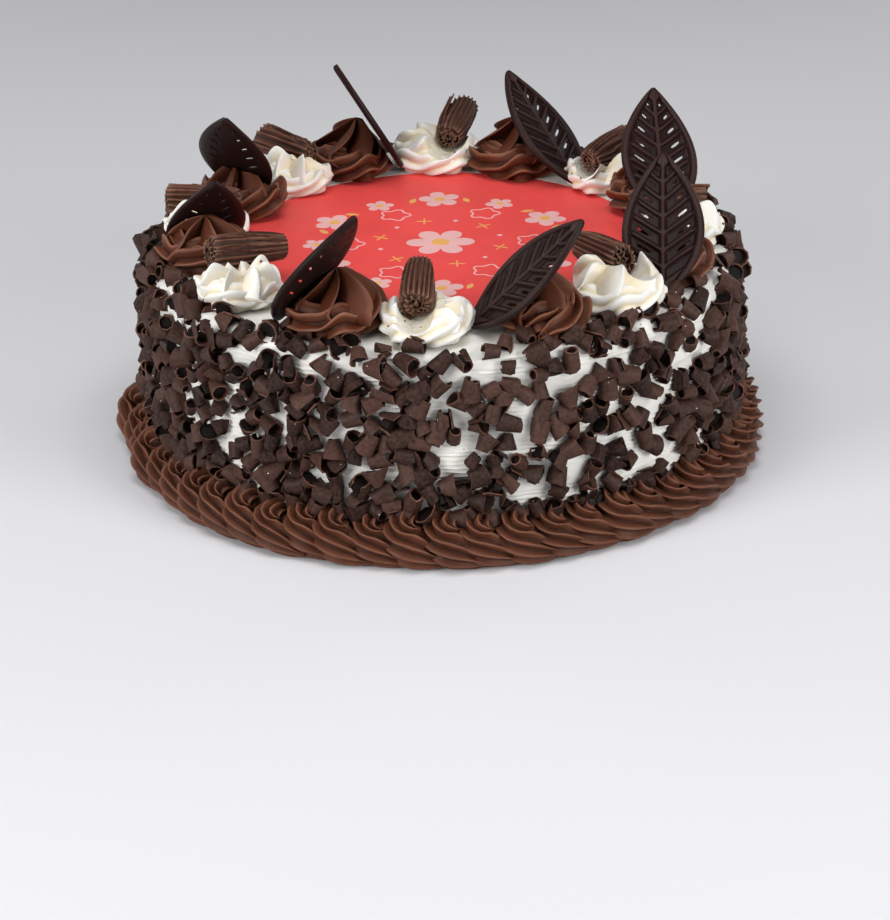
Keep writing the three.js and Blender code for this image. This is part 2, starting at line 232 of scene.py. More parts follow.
def joined(parts):
    """One list of points and one of faces from several pairs of them."""
    points, faces, start = [], [], 0
    for part_points, part_faces in parts:
        points.append(np.asarray(part_points))
        faces += [[corner + start for corner in face] for face in part_faces]
        start += len(part_points)
    return np.vstack(points), faces


# ---- node helpers -----------------------------------------------------------------------

def node(tree, kind, inputs=None, **settings):
    """A new node with its settings, and its inputs linked or set by name or place."""
    made = tree.nodes.new(kind)
    for name, value in settings.items():
        setattr(made, name, value)
    for key, value in (inputs or {}).items():
        socket = made.inputs[key]
        if isinstance(value, bpy.types.NodeSocket):
            tree.links.new(value, socket)
        else:
            socket.default_value = value
    return made


def new_group(name, kind, inputs, outputs):
    """A node group with named sockets, and its input and output nodes."""
    tree = bpy.data.node_groups.new(name, kind)
    for label, socket_type, default in inputs:
        socket = tree.interface.new_socket(label, in_out="INPUT", socket_type=socket_type)
        if default is not None:
            socket.default_value = default
    for label, socket_type in outputs:
        tree.interface.new_socket(label, in_out="OUTPUT", socket_type=socket_type)
    return tree, tree.nodes.new("NodeGroupInput").outputs, tree.nodes.new("NodeGroupOutput")


def maths(tree, operation, *values, **settings):
    """The result of one step of arithmetic."""
    made = node(tree, "ShaderNodeMath", dict(enumerate(values)), operation=operation, **settings)
    return made.outputs[0]


def scale_vector(tree, vector, scale):
    """A vector or colour times a number."""
    made = node(tree, "ShaderNodeVectorMath", {0: vector, "Scale": scale}, operation="SCALE")
    return made.outputs[0]


def random_draw(tree, low, high, seed):
    """A random number for each point or instance."""
    made = node(tree, "FunctionNodeRandomValue", {2: low, 3: high, "Seed": seed})
    return made.outputs[1]


def random_kind(tree, last, seed):
    """A random whole number from 0 to the last kind, for each point."""
    made = node(tree, "FunctionNodeRandomValue", {4: 0, 5: last, "Seed": seed}, data_type="INT")
    return made.outputs[2]


def placed_shapes(tree, points, shapes, kind, rotation, scale):
    """One of a collection's shapes on each point, turned and sized."""
    kinds = node(tree, "GeometryNodeCollectionInfo", {
        0: shapes, "Separate Children": True, "Reset Children": True,
    })
    placed = node(tree, "GeometryNodeInstanceOnPoints", {
        "Points": points, "Instance": kinds.outputs[0], "Pick Instance": True,
        "Instance Index": kind, "Rotation": rotation, "Scale": scale,
    })
    return placed.outputs[0]


def made_real(tree, placed, finish, result):
    """Ends a tree: what it placed becomes one mesh with that finish."""
    real = node(tree, "GeometryNodeRealizeInstances", {0: placed})
    done = node(tree, "GeometryNodeSetMaterial", {0: real.outputs[0], "Material": finish})
    tree.links.new(done.outputs[0], result.inputs[0])
    return tree


def run_geometry_nodes(name, carrier, tree, values):
    """Runs a geometry tree on the carrier and returns its result as a plain piece."""
    modifier = carrier.modifiers.new(name, "NODES")
    modifier.node_group = tree
    sockets = {item.name: item.identifier for item in tree.interface.items_tree}
    for label, value in values.items():
        modifier[sockets[label]] = value
    graph = bpy.context.evaluated_depsgraph_get()
    evaluated = carrier.evaluated_get(graph)
    mesh = bpy.data.meshes.new_from_object(
        evaluated, preserve_all_data_layers=True, depsgraph=graph
    )
    if not len(mesh.polygons):
        raise RuntimeError(f"{name}: the geometry nodes made nothing")
    mesh.name = name
    piece = bpy.data.objects.new(name, mesh)
    bpy.context.scene.collection.objects.link(piece)
    bpy.data.objects.remove(carrier)
    return piece


def kept_aside(name, pieces):
    """A collection outside the scene that holds shapes for geometry nodes to repeat."""
    group = bpy.data.collections.new(name)
    for piece in pieces:
        for owner in list(piece.users_collection):
            owner.objects.unlink(piece)
        group.objects.link(piece)
    return group


def discard(group):
    """Removes a collection of repeated shapes once they have been placed."""
    for piece in list(group.objects):
        bpy.data.objects.remove(piece)
    bpy.data.collections.remove(group)


# ---- properties -------------------------------------------------------------------------

def colour_property(name, description, default):
    """A colour that shows as a swatch in the panel."""
    return bpy.props.FloatVectorProperty(
        name=name, description=description, default=default,
        subtype="COLOR", size=3, min=0, max=1,
    )


def length_property(name, description, default):
    """A length in metres."""
    return bpy.props.FloatProperty(
        name=name, description=description, default=default, subtype="DISTANCE", unit="LENGTH",
    )


class CakeSizes(bpy.types.PropertyGroup):
    """Sizes that a baker would change."""

    comb_pitch: length_property("Comb pitch", "Height of one ridge of the comb", 1.9 * MM)
    comb_depth: length_property("Comb depth", "How deep the comb cut", 0.45 * MM)
    curl_spacing: length_property("Curl spacing", "Least way between curls", 6.3 * MM)
    curl_wall: length_property("Curl thickness", "Thickness of a shaving", 0.75 * MM)
    curl_seed: bpy.props.IntProperty(name="Curl seed", description="Scatter of curls", default=4)
    border_strokes: bpy.props.IntProperty(
        name="Border strokes", description="Piped strokes round the foot", default=56, min=8
    )
    stroke_size: bpy.props.FloatProperty(
        name="Stroke fatness", description="How fat each stroke is piped", default=1.0, min=0.5
    )
    fold_pitch: length_property("Fold pitch", "Way from fold to fold in a stick", 2.3 * MM)
    sheet: length_property("Stick sheet", "Thickness of the folded sheet", 0.7 * MM)
    print_lift: length_property("Print thickness", "How far the print stands up", 0.06 * MM)


class CakeColours(bpy.types.PropertyGroup):
    """Colours, as the surfaces are in white light, besides the painted shade in creases and the
    painted highlights on lips, ridges and leaf veins.
    """

    cream: colour_property("Cream", "Whipped cream", (0.80, 0.783, 0.735))
    # Painted shade: the cream's colour deep in its folds, darker and yellower.
    cream_crease_shade: colour_property("Cream crease", "Cream deep in its folds", (0.75, 0.64, 0.43))
    ganache: colour_property("Buttercream", "Chocolate buttercream", (0.084, 0.0222, 0.0092))
    # Painted highlight on the thin lips of the chocolate buttercream.
    ganache_lip_highlight: colour_property("Buttercream lip", "Its thin edges", (0.24, 0.10, 0.058))
    border: colour_property("Border", "Buttercream of the border", (0.085, 0.027, 0.013))
    # Painted highlight on the ridges of the border.
    border_lip_highlight: colour_property("Border lip", "Its ridges", (0.17, 0.068, 0.040))
    curl: colour_property("Curls", "Shaved chocolate", (0.047, 0.0222, 0.0163))
    curl_edge: colour_property("Curl edge", "Broken edges of the shavings", (0.11, 0.050, 0.034))
    leaf: colour_property("Leaves", "Dark moulded chocolate", (0.0155, 0.0063, 0.0055))
    # Painted highlight on the raised veins and rim of the leaves.
    leaf_vein_highlight: colour_property("Leaf veins", "Veins and rim with painted highlight", (0.040, 0.0195, 0.017))
    stick: colour_property("Sticks", "Folded milk chocolate", (0.112, 0.046, 0.029))
    stick_edge: colour_property("Stick edge", "Broken ends", (0.17, 0.085, 0.055))
    icing: colour_property("Icing", "Red icing disc", (0.84, 0.078, 0.071))
    print_pink: colour_property("Pink print", "Printed blossoms", (0.83, 0.46, 0.45))
    print_gold: colour_property("Gold print", "Printed dots and leaves", (0.83, 0.42, 0.12))


class CakeStage(bpy.types.PropertyGroup):
    """The floor, the lights and the camera."""

    floor: colour_property("Floor", "Plain pale floor", (0.72, 0.72, 0.74))
    softbox: bpy.props.FloatProperty(
        name="Softbox", description="Power that each light has a share of", default=8.5,
        unit="POWER",
    )
    fill: bpy.props.FloatProperty(name="Fill", description="Light of the room", default=0.13)
    camera_way: length_property("Camera distance", "From the cake's middle axis", 1.2269)
    camera_height: length_property("Camera height", "Above the cake's foot", 0.5611)
    camera_pitch: bpy.props.FloatProperty(
        name="Camera pitch", description="How far it looks down",
        default=math.radians(25.16), subtype="ANGLE",
    )
    camera_roll: bpy.props.FloatProperty(
        name="Camera roll", description="Its turn about its own line of sight",
        default=-0.0209, subtype="ANGLE",
    )


# ---- finishes ---------------------------------------------------------------------------

NOISE_SPAN = (0.3, 0.7)  # nearly all of the noise lies between these


def rgba(colour):
    """A colour with full cover."""
    return (*colour, 1.0)


def darker(colour, share):
    """That share of a colour."""
    return [share * part for part in colour]


def attribute(tree, name):
    """One of the mesh's own numbers, by name."""
    return node(tree, "ShaderNodeAttribute", attribute_name=name).outputs["Fac"]


def noise(tree, scale, detail, **inputs):
    """Cloudy noise through the object's own space."""
    place = node(tree, "ShaderNodeTexCoord").outputs["Object"]
    made = node(tree, "ShaderNodeTexNoise", {
        "Vector": place, "Scale": scale, "Detail": detail, **inputs,
    })
    return made.outputs["Fac"]


def map_range(tree, value, from_min=0.0, from_max=1.0, to_min=0.0, to_max=1.0):
    """A value moved from one range to another and kept inside it."""
    made = node(tree, "ShaderNodeMapRange", {
        "Value": value, "From Min": from_min, "From Max": from_max,
        "To Min": to_min, "To Max": to_max,
    })
    return made.outputs[0]


def mix_colours(tree, share, first, second):
    """The first colour where the share is 0 and the second where it is 1."""
    made = node(tree, "ShaderNodeMix", {0: share, 6: first, 7: second}, data_type="RGBA")
    return made.outputs[2]


def piped_surface_group():
    """Colour and bump of anything piped: painted shade in its creases and painted highlight on its
    lips by a fold mask, mottled and a little grainy.
    """
    name = "Piped surface"
    if name in bpy.data.node_groups:
        return bpy.data.node_groups[name]
    tree, given, result = new_group(
        name, "ShaderNodeTree",
        [
            ("Crease", "NodeSocketColor", None), ("Body", "NodeSocketColor", None),
            ("Lip", "NodeSocketColor", None), ("Fold", "NodeSocketFloat", 0.5),
            ("Crease end", "NodeSocketFloat", 0.35), ("Lip start", "NodeSocketFloat", 0.6),
            ("Mottle", "NodeSocketFloat", 0.15), ("Grain size", "NodeSocketFloat", 900.0),
        ],
        [("Colour", "NodeSocketColor"), ("Height", "NodeSocketFloat")],
    )
    low = map_range(tree, given["Fold"], 0.0, given["Crease end"])
    high = map_range(tree, given["Fold"], given["Lip start"], 1.0)
    body = mix_colours(tree, low, given["Crease"], given["Body"])
    lipped = mix_colours(tree, high, body, given["Lip"])
    shade = map_range(tree, noise(tree, 70.0, 3.0), *NOISE_SPAN, -1.0, 1.0)
    amount = maths(tree, "MULTIPLY_ADD", shade, given["Mottle"], 1.0)
    grain = noise(tree, given["Grain size"], 4.0, Roughness=0.6)
    tree.links.new(scale_vector(tree, lipped, amount), result.inputs["Colour"])
    tree.links.new(grain, result.inputs["Height"])
    return tree


def speckle_group():
    """A mask of small scattered specks, such as dust and crumbs."""
    name = "Specks"
    if name in bpy.data.node_groups:
        return bpy.data.node_groups[name]
    tree, given, result = new_group(
        name, "ShaderNodeTree",
        [("Spacing scale", "NodeSocketFloat", 300.0), ("Size", "NodeSocketFloat", 0.12),
         ("Share", "NodeSocketFloat", 0.3)],
        [("Mask", "NodeSocketFloat")],
    )
    place = node(tree, "ShaderNodeTexCoord").outputs["Object"]
    cells = node(tree, "ShaderNodeTexVoronoi", {"Vector": place, "Scale": given["Spacing scale"]})
    near = maths(tree, "LESS_THAN", cells.outputs["Distance"], given["Size"])
    pick = node(tree, "ShaderNodeSeparateColor", {0: cells.outputs["Color"]})
    chosen = maths(tree, "LESS_THAN", pick.outputs[0], given["Share"])
    tree.links.new(maths(tree, "MULTIPLY", near, chosen), result.inputs["Mask"])
    return tree


def new_finish(name, roughness, **constants):
    """A material with a shader node, whose even values are set on its own sockets."""
    material = bpy.data.materials.new(name)
    material.use_nodes = True
    shader = material.node_tree.nodes["Principled BSDF"]
    shader.inputs["Roughness"].default_value = roughness
    for label, value in constants.items():
        shader.inputs[label.replace("_", " ")].default_value = value
    return material, material.node_tree, shader


def bump(tree, shader, height, distance):
    """Fine relief, with the height between its lowest and highest places."""
    made = node(tree, "ShaderNodeBump", {"Height": height, "Distance": distance, "Strength": 1.0})
    tree.links.new(made.outputs["Normal"], shader.inputs["Normal"])


def piped_finish(name, crease, body, lip, roughness, grain, crease_end=0.35, lip_start=0.6,
                 mottle=0.15, bump_depth=0.1 * MM, **constants):
    """The finish of piped cream or buttercream, with painted shade in the creases and painted
    highlight on the lips from its mesh's fold mask.
    """
    material, tree, shader = new_finish(name, roughness, **constants)
    surface = node(tree, "ShaderNodeGroup", node_tree=piped_surface_group())
    for label, value in (("Crease", rgba(crease)), ("Body", rgba(body)), ("Lip", rgba(lip)),
                         ("Crease end", crease_end), ("Lip start", lip_start),
                         ("Mottle", mottle), ("Grain size", grain)):
        surface.inputs[label].default_value = value
    tree.links.new(attribute(tree, "fold"), surface.inputs["Fold"])
    tree.links.new(surface.outputs["Colour"], shader.inputs["Base Color"])
    bump(tree, shader, surface.outputs["Height"], bump_depth)
    return material


def speckled(material, colour, scale, size, share):
    """Adds specks of a colour to a finish."""
    tree = material.node_tree
    shader = tree.nodes["Principled BSDF"]
    under = shader.inputs["Base Color"].links[0].from_socket
    specks = node(tree, "ShaderNodeGroup", node_tree=speckle_group())
    for label, value in (("Spacing scale", scale), ("Size", size), ("Share", share)):
        specks.inputs[label].default_value = value
    mixed = mix_colours(tree, specks.outputs["Mask"], under, rgba(colour))
    tree.links.new(mixed, shader.inputs["Base Color"])


# ---- the cream coat ---------------------------------------------------------------------

COAT_COLUMNS = 360
COAT_COMBED = (12 * MM, 85 * MM)
COAT_COMBED_ROWS = 156
COAT_CREASE_SHADE = 0.25  # painted shade: how far the comb's creases are painted towards the shade colour of deep creases


def coat_profile():
    """Radius and height of each row of the coat, from the middle of the foot to the recess."""
    low, high = COAT_COMBED
    shoulder = [
        (CAKE_RADIUS - EDGE_ROUND * (1 - math.cos(turn)),
         CAKE_HEIGHT - EDGE_ROUND * (1 - math.sin(turn)))
        for turn in np.linspace(0, math.pi / 2, 9)
    ]
    foot = [(CAKE_RADIUS * share, 0) for share in (0.05, 0.5, 0.97)]
    foot += [(CAKE_RADIUS, 0.4 * MM), (CAKE_RADIUS, low / 2)]
    wall = [(CAKE_RADIUS, height) for height in np.linspace(low, high - 1.5 * MM, COAT_COMBED_ROWS)]
    lip = DISC_RADIUS + FIT_GAP
    top = [(radius, CAKE_HEIGHT) for radius in np.linspace(CAKE_RADIUS - EDGE_ROUND, lip, 12)[1:]]
    recess = [(lip, CAKE_HEIGHT - DISC_RECESS), (0.5 * lip, CAKE_HEIGHT - DISC_RECESS),
              (0.02 * lip, CAKE_HEIGHT - DISC_RECESS)]
    return np.array(foot + wall + shoulder + top + recess)


def coat_mesh(sizes):
    """Points, faces and fold mask of the coat, combed and smeared on its side."""
    profile = coat_profile()
    turn = np.linspace(0, 2 * math.pi, COAT_COLUMNS, endpoint=False)
    radius = np.repeat(profile[:, :1], COAT_COLUMNS, axis=1)
    height = np.repeat(profile[:, 1:], COAT_COLUMNS, axis=1)
    angle = np.repeat(turn[None, :], len(profile), axis=0)
    spot = np.stack([CAKE_RADIUS * np.cos(angle), CAKE_RADIUS * np.sin(angle), height], axis=2)
    spot = spot.reshape(-1, 3)
    flattened = spot * (1, 1, 2.2)

    wander = smooth_noise(spot * (1, 1, 0.5), 45 * MM, 1).reshape(height.shape) * 2.2 * MM
    ridge = np.cos(2 * math.pi * (height + wander) / sizes.comb_pitch)
    ridge = np.sign(ridge) * np.abs(ridge) ** 0.7
    smeared = smooth_noise(flattened, 16 * MM, 2).reshape(height.shape)
    cut = np.clip(0.3 + 1.4 * smeared, 0, 1)
    drag = smooth_noise(flattened, 7 * MM, 3).reshape(height.shape)
    fine = smooth_noise(flattened, 2.5 * MM, 4).reshape(height.shape)
    on_wall = np.clip((height - 2 * MM) / (6 * MM), 0, 1) * (radius > CAKE_RADIUS - 5 * MM)
    push = sizes.comb_depth * ridge * cut + 0.8 * MM * drag + 0.35 * MM * fine
    radius = radius + push * on_wall
    on_top = (radius > DISC_RADIUS + 3 * MM) & (height > CAKE_HEIGHT - EDGE_ROUND)
    height = height + on_top * (0.5 * MM * drag + 0.2 * MM * fine)
    points = np.stack([radius * np.cos(angle), radius * np.sin(angle), height], axis=2)
    skin, faces = capped_rings(points)
    # The fold mask is low in the comb's grooves, where the finish paints shade.
    fold = np.clip(0.5 + 0.35 * ridge * cut + 0.25 * drag, 0, 1).ravel()
    return skin, faces, np.append(fold, [0.5, 0.5])


class CAKE_OT_coat(bpy.types.Operator):
    """Spreads the cream coat and combs its side"""

    bl_idname = "cake.coat"
    bl_label = "Cream coat"

    def execute(self, context):
        colours = context.scene.cake_colours
        # Painted shade in the comb's creases.
        crease = [(1 - COAT_CREASE_SHADE) * flat + COAT_CREASE_SHADE * deep
                  for flat, deep in zip(colours.cream, colours.cream_crease_shade)]
        finish = piped_finish(
            "Combed cream", crease, colours.cream, colours.cream,
            roughness=0.5, grain=1500, lip_start=0.9, mottle=0.03, bump_depth=0.06 * MM,
        )
        speckled(finish, colours.curl, scale=260, size=0.09, share=0.12)
        points, faces, fold = coat_mesh(context.scene.cake_sizes)
        coat = new_piece("cream_coat", points, faces, finish, sharp=60, fold=fold)
        settle(coat, ["cake"])
        return {"FINISHED"}


# ---- chocolate curls --------------------------------------------------------------------

# Radius, length, sweep in degrees, taper along the roll, opening from turn to turn, and the
# slant of each broken end.
CURL_KINDS = [
    (3.7, 9.5, 370, 0.12, 0.12, 0.30, -0.20),
    (4.1, 10.0, 335, 0.20, 0.12, -0.40, 0.35),
    (3.4, 8.5, 450, 0.10, 0.30, 0.20, 0.30),
    (4.3, 9.0, 320, 0.28, 0.10, 0.55, -0.45),
    (3.8, 9.0, 345, 0.42, 0.10, 0.10, 0.50),
    (4.4, 8.5, 285, 0.18, 0.10, -0.50, 0.55),
    (3.9, 8.0, 330, 0.34, 0.15, 0.65, 0.15),
    (3.6, 10.0, 385, 0.16, 0.12, -0.15, 0.40),
    (4.2, 8.5, 300, 0.50, 0.08, 0.30, 0.60),
    (3.2, 7.5, 430, 0.14, 0.25, -0.30, -0.30),
]
CURL_CHORDS = 10
CORE_CORNERS = 8
CORE_PAINTED_SHADE = -0.85  # painted shade: how much darker than the rest the inside of a curl is painted
BAND_COLUMNS = 120


def curl_shape(index, kind, wall):
    """A shaving of chocolate, rolled part of the way round, with slanting broken ends.

    Its tight inner turns are one core, painted dark as the shade inside the roll, set well back
    from both ends.
    """
    radius, length, sweep, taper, opening, slant_low, slant_high = kind
    radius, length = radius * MM, length * MM
    share = np.linspace(0, 1, CURL_CHORDS + 1)
    angle = math.radians(sweep) * (share - 0.5)
    corner = 1 - 0.3 * np.abs(2 * share - 1) ** 4
    low = -0.5 * length * corner * (1 - 0.6 * slant_low * (2 * share - 1))
    high = 0.5 * length * corner * (1 + 0.6 * slant_high * (2 * share - 1))
    high = high + 0.04 * length * np.sin(9 * share + index)

    def turn(height, turn_angle, inwards, opened):
        """Points round the roll at those heights, that far in from its outside."""
        reach = radius * (1 + opened) * (1 + taper * 2 * height / length) - inwards
        return np.stack([reach * np.cos(turn_angle), reach * np.sin(turn_angle), height], axis=1)

    rows = [turn(height, angle, inwards, opening * share) for inwards in (0, wall)
            for height in (low, high)]
    columns = CURL_CHORDS + 1
    inner = 2 * columns
    outer = ring_quads(2, columns, closed=False)
    faces = outer.tolist() + (outer[:, ::-1] + inner).tolist()
    for j in range(CURL_CHORDS):
        top = columns + j
        faces.append([j, j + inner, j + 1 + inner, j + 1])
        faces.append([top, top + 1, top + 1 + inner, top + inner])
    end = CURL_CHORDS
    faces.append([0, columns, columns + inner, inner])
    faces.append([end, end + inner, end + columns + inner, end + columns])

    around = np.linspace(0, 2 * math.pi, CORE_CORNERS, endpoint=False)
    core = np.array([turn(np.full(CORE_CORNERS, height), around, 1.2 * wall, 0.0)
                     for height in (-0.24 * length, 0.24 * length)])
    core_faces = ring_quads(2, CORE_CORNERS).tolist()
    core_faces += [list(range(CORE_CORNERS))[::-1], list(range(CORE_CORNERS, 2 * CORE_CORNERS))]
    points, all_faces = joined([(np.vstack(rows), faces), (core.reshape(-1, 3), core_faces)])
    piece = new_piece(f"curl_kind_{index}", points, all_faces, sharp=50)
    # The core's faces carry the painted shade value.
    kind_of_face = [0.0] * (2 * len(outer)) + [1.0] * (len(faces) - 2 * len(outer))
    edge = piece.data.attributes.new("edge", "FLOAT", "FACE")
    edge.data.foreach_set("value", kind_of_face + [CORE_PAINTED_SHADE] * len(core_faces))
    return piece


def curl_band():
    """The strip of the side and shoulder that takes curls, with how thickly it takes them."""
    line = [(CAKE_RADIUS, height * MM) for height in range(19, 85, 3)]
    line += [(CAKE_RADIUS - 1.8 * MM, 88 * MM), (CAKE_RADIUS - 5 * MM, 89.8 * MM),
             (CAKE_RADIUS - 9 * MM, 90 * MM)]
    turn = np.linspace(0, 2 * math.pi, BAND_COLUMNS, endpoint=False)
    points = np.array([
        [(radius * math.cos(a), radius * math.sin(a), height) for a in turn]
        for radius, height in line
    ]).reshape(-1, 3)
    angle = np.degrees(np.arctan2(points[:, 1], points[:, 0]))
    height = points[:, 2]
    sparse = np.exp(-(((angle + 50) / 32) ** 2))
    cover = 1.0 - 0.16 * sparse - 0.25 * sparse * (height < 30 * MM)
    patchy = smooth_noise(points, 20 * MM, 9)
    cover = np.clip(cover + 0.22 * patchy, 0.08, 1)
    faces = ring_quads(len(line), BAND_COLUMNS).tolist()
    return new_piece("curl_band", points, faces, cover=cover)


def curl_scatter_tree():
    """Shavings spread over a surface, each turned its own way and pressed in."""
    tree, given, result = new_group(
        "Scatter curls", "GeometryNodeTree",
        [
            ("Surface", "NodeSocketGeometry", None), ("Curls", "NodeSocketCollection", None),
            ("Kinds", "NodeSocketInt", 1), ("Spacing", "NodeSocketFloat", 6 * MM),
            ("Stand off", "NodeSocketFloat", 2.7 * MM), ("Tilt", "NodeSocketFloat", 0.6),
            ("Seed", "NodeSocketInt", 1), ("Finish", "NodeSocketMaterial", None),
        ],
        [("Curls", "NodeSocketGeometry")],
    )
    cover = node(tree, "GeometryNodeInputNamedAttribute", {"Name": "cover"}, data_type="FLOAT")
    spots = node(tree, "GeometryNodeDistributePointsOnFaces", {
        "Mesh": given["Surface"], "Distance Min": given["Spacing"], "Density Max": 60000.0,
        "Density Factor": cover.outputs[0], "Seed": given["Seed"],
    }, distribute_method="POISSON")
    off = maths(tree, "MULTIPLY", given["Stand off"], random_draw(tree, 0.72, 1.3, 5))
    lifted = node(tree, "GeometryNodeSetPosition", {
        "Geometry": spots.outputs["Points"],
        "Offset": scale_vector(tree, spots.outputs["Normal"], off),
    })
    wide = maths(tree, "MULTIPLY_ADD", random_draw(tree, -1.0, 1.0, 6), given["Tilt"],
                 math.pi / 2)
    lean = node(tree, "ShaderNodeCombineXYZ", {
        "X": wide, "Z": random_draw(tree, 0.0, 2 * math.pi, 7),
    })
    roll = node(tree, "ShaderNodeCombineXYZ", {"Z": random_draw(tree, 0.0, 2 * math.pi, 8)})
    turned = spots.outputs["Rotation"]
    for euler in (lean, roll):
        step = node(tree, "FunctionNodeEulerToRotation", {0: euler.outputs[0]})
        turned = node(tree, "FunctionNodeRotateRotation", {
            0: turned, 1: step.outputs[0],
        }, rotation_space="LOCAL").outputs[0]
    placed = placed_shapes(tree, lifted.outputs[0], given["Curls"],
                           random_kind(tree, given["Kinds"], 9), turned,
                           random_draw(tree, 0.72, 1.02, 10))
    toned = node(tree, "GeometryNodeStoreNamedAttribute", {
        "Geometry": placed, "Name": "tone", "Value": random_draw(tree, 0.0, 1.0, 11),
    }, data_type="FLOAT", domain="INSTANCE")
    return made_real(tree, toned.outputs[0], given["Finish"], result)


def shaving_finish(name, body, edge, roughness):
    """Shaved chocolate: each piece has its own tone, broken edges are lighter, and the core of each
    roll is painted dark as shade.
    """
    material, tree, shader = new_finish(name, roughness, Specular_IOR_Level=0.14)
    streaks = map_range(tree, noise(tree, 650.0, 6.0), *NOISE_SPAN, -0.4, 0.5)
    level = maths(tree, "MULTIPLY_ADD", attribute(tree, "tone"), 0.95, 0.5)
    level = maths(tree, "ADD", streaks, level)
    # Painted shade: the core's negative edge value darkens the inside of each roll.
    inside = maths(tree, "MINIMUM", attribute(tree, "edge"), 0.0)
    inside = maths(tree, "ADD", inside, 1.0)
    level = maths(tree, "MULTIPLY", inside, level)
    mixed = mix_colours(tree, attribute(tree, "edge"), rgba(body), rgba(edge))
    tree.links.new(scale_vector(tree, mixed, level), shader.inputs["Base Color"])
    bump(tree, shader, noise(tree, 1400.0, 3.0), 0.16 * MM)
    return material


class CAKE_OT_curls(bpy.types.Operator):
    """Presses chocolate curls into the side of the cake"""

    bl_idname = "cake.curls"
    bl_label = "Chocolate curls"

    def execute(self, context):
        sizes, colours = context.scene.cake_sizes, context.scene.cake_colours
        finish = shaving_finish("Shaved chocolate", colours.curl, colours.curl_edge, 0.5)
        speckled(finish, colours.cream, scale=330, size=0.08, share=0.1)
        kinds = [curl_shape(i, kind, sizes.curl_wall) for i, kind in enumerate(CURL_KINDS)]
        group = kept_aside("curl_kinds", kinds)
        curls = run_geometry_nodes("chocolate_curls", curl_band(), curl_scatter_tree(), {
            "Curls": group, "Kinds": len(kinds) - 1, "Spacing": sizes.curl_spacing,
            "Seed": sizes.curl_seed, "Finish": finish,
        })
        discard(group)
        settle(curls, ["cake"])
        return {"FINISHED"}


# ---- the piped border -------------------------------------------------------------------

# A stroke's line: along the ring, out from the middle and up, and how thick it is there.
STROKE_KNOTS = [
    (1.0, 126.5, 15.0, 4.2), (-0.8, 128.4, 15.2, 7.0), (-2.6, 131.6, 13.2, 8.4),
    (-1.4, 134.4, 10.2, 8.8), (2.6, 135.8, 7.6, 8.0), (7.6, 136.3, 5.4, 6.0),
    (12.0, 136.8, 3.8, 4.0), (16.5, 138.0, 2.6, 1.0),
]
STROKE_RIBS = 9
RIB_SAMPLES = 8
STROKE_SECTIONS = 22
STROKE_KINDS = 4
CLOSING_STROKE = 28  # the place of the big last stroke, at the left end
BORDER_RING = 135 * MM
FLOOR_GAP = 0.15 * MM  # between the border and what the cake stands on


def ribbon_edge(share, crest=0.68, puff=1.2, drop=1.9):
    """1 on the thin edge of a piped ribbon and 0 in the crease that it stands over."""
    share = share % 1
    return np.where(share < crest, (share / crest) ** puff, ((1 - share) / (1 - crest)) ** drop)


def border_stroke(index, size):
    """One piped stroke: ribbed along its length, fat at the wall and pointed where it ends.

    The last kind is the big one that closes the run.
    """
    line = smooth_line(STROKE_KNOTS, STROKE_SECTIONS) * MM
    along, out, up, thick = line.T
    closing = index == STROKE_KINDS
    thick = thick * size * (1.3 if closing else 1 + 0.05 * math.sin(5 * index))
    out = out + (1.5 if closing else 0.5 * math.sin(2.3 * index)) * MM
    up = up * (1.2 if closing else 1)
    turn = along / BORDER_RING
    centre = np.stack([out * np.cos(turn), out * np.sin(turn), up], axis=1)
    tangent = np.gradient(centre, axis=0)
    tangent /= np.linalg.norm(tangent, axis=1)[:, None]
    side = np.cross(tangent, (0, 0, 1.0))
    side /= np.linalg.norm(side, axis=1)[:, None]
    over = np.cross(side, tangent)
    around = np.arange(STROKE_RIBS * RIB_SAMPLES) / (STROKE_RIBS * RIB_SAMPLES)
    fold = ribbon_edge(around * STROKE_RIBS, 0.5, 1.3, 1.3)
    twist = 0.6 * np.linspace(0, 1, STROKE_SECTIONS) + 0.17 * index
    angle = 2 * math.pi * around[None, :] + twist[:, None]
    reach = thick[:, None] * (1 - 0.4 * (1 - fold[None, :]))
    points = centre[:, None, :] + reach[..., None] * (
        np.cos(angle)[..., None] * side[:, None, :] + np.sin(angle)[..., None] * over[:, None, :]
    )
    points[..., 2] = np.maximum(points[..., 2], FLOOR_GAP)
    skin, faces = capped_rings(points[:, ::-1, :])
    # The fold mask for the finish's painted shade in the creases and painted highlight on the
    # ridges.
    mask = np.repeat(fold[None, ::-1], STROKE_SECTIONS, axis=0).ravel()
    return new_piece(f"stroke_kind_{index}", skin, faces, fold=np.append(mask, [0.5, 0.5]))


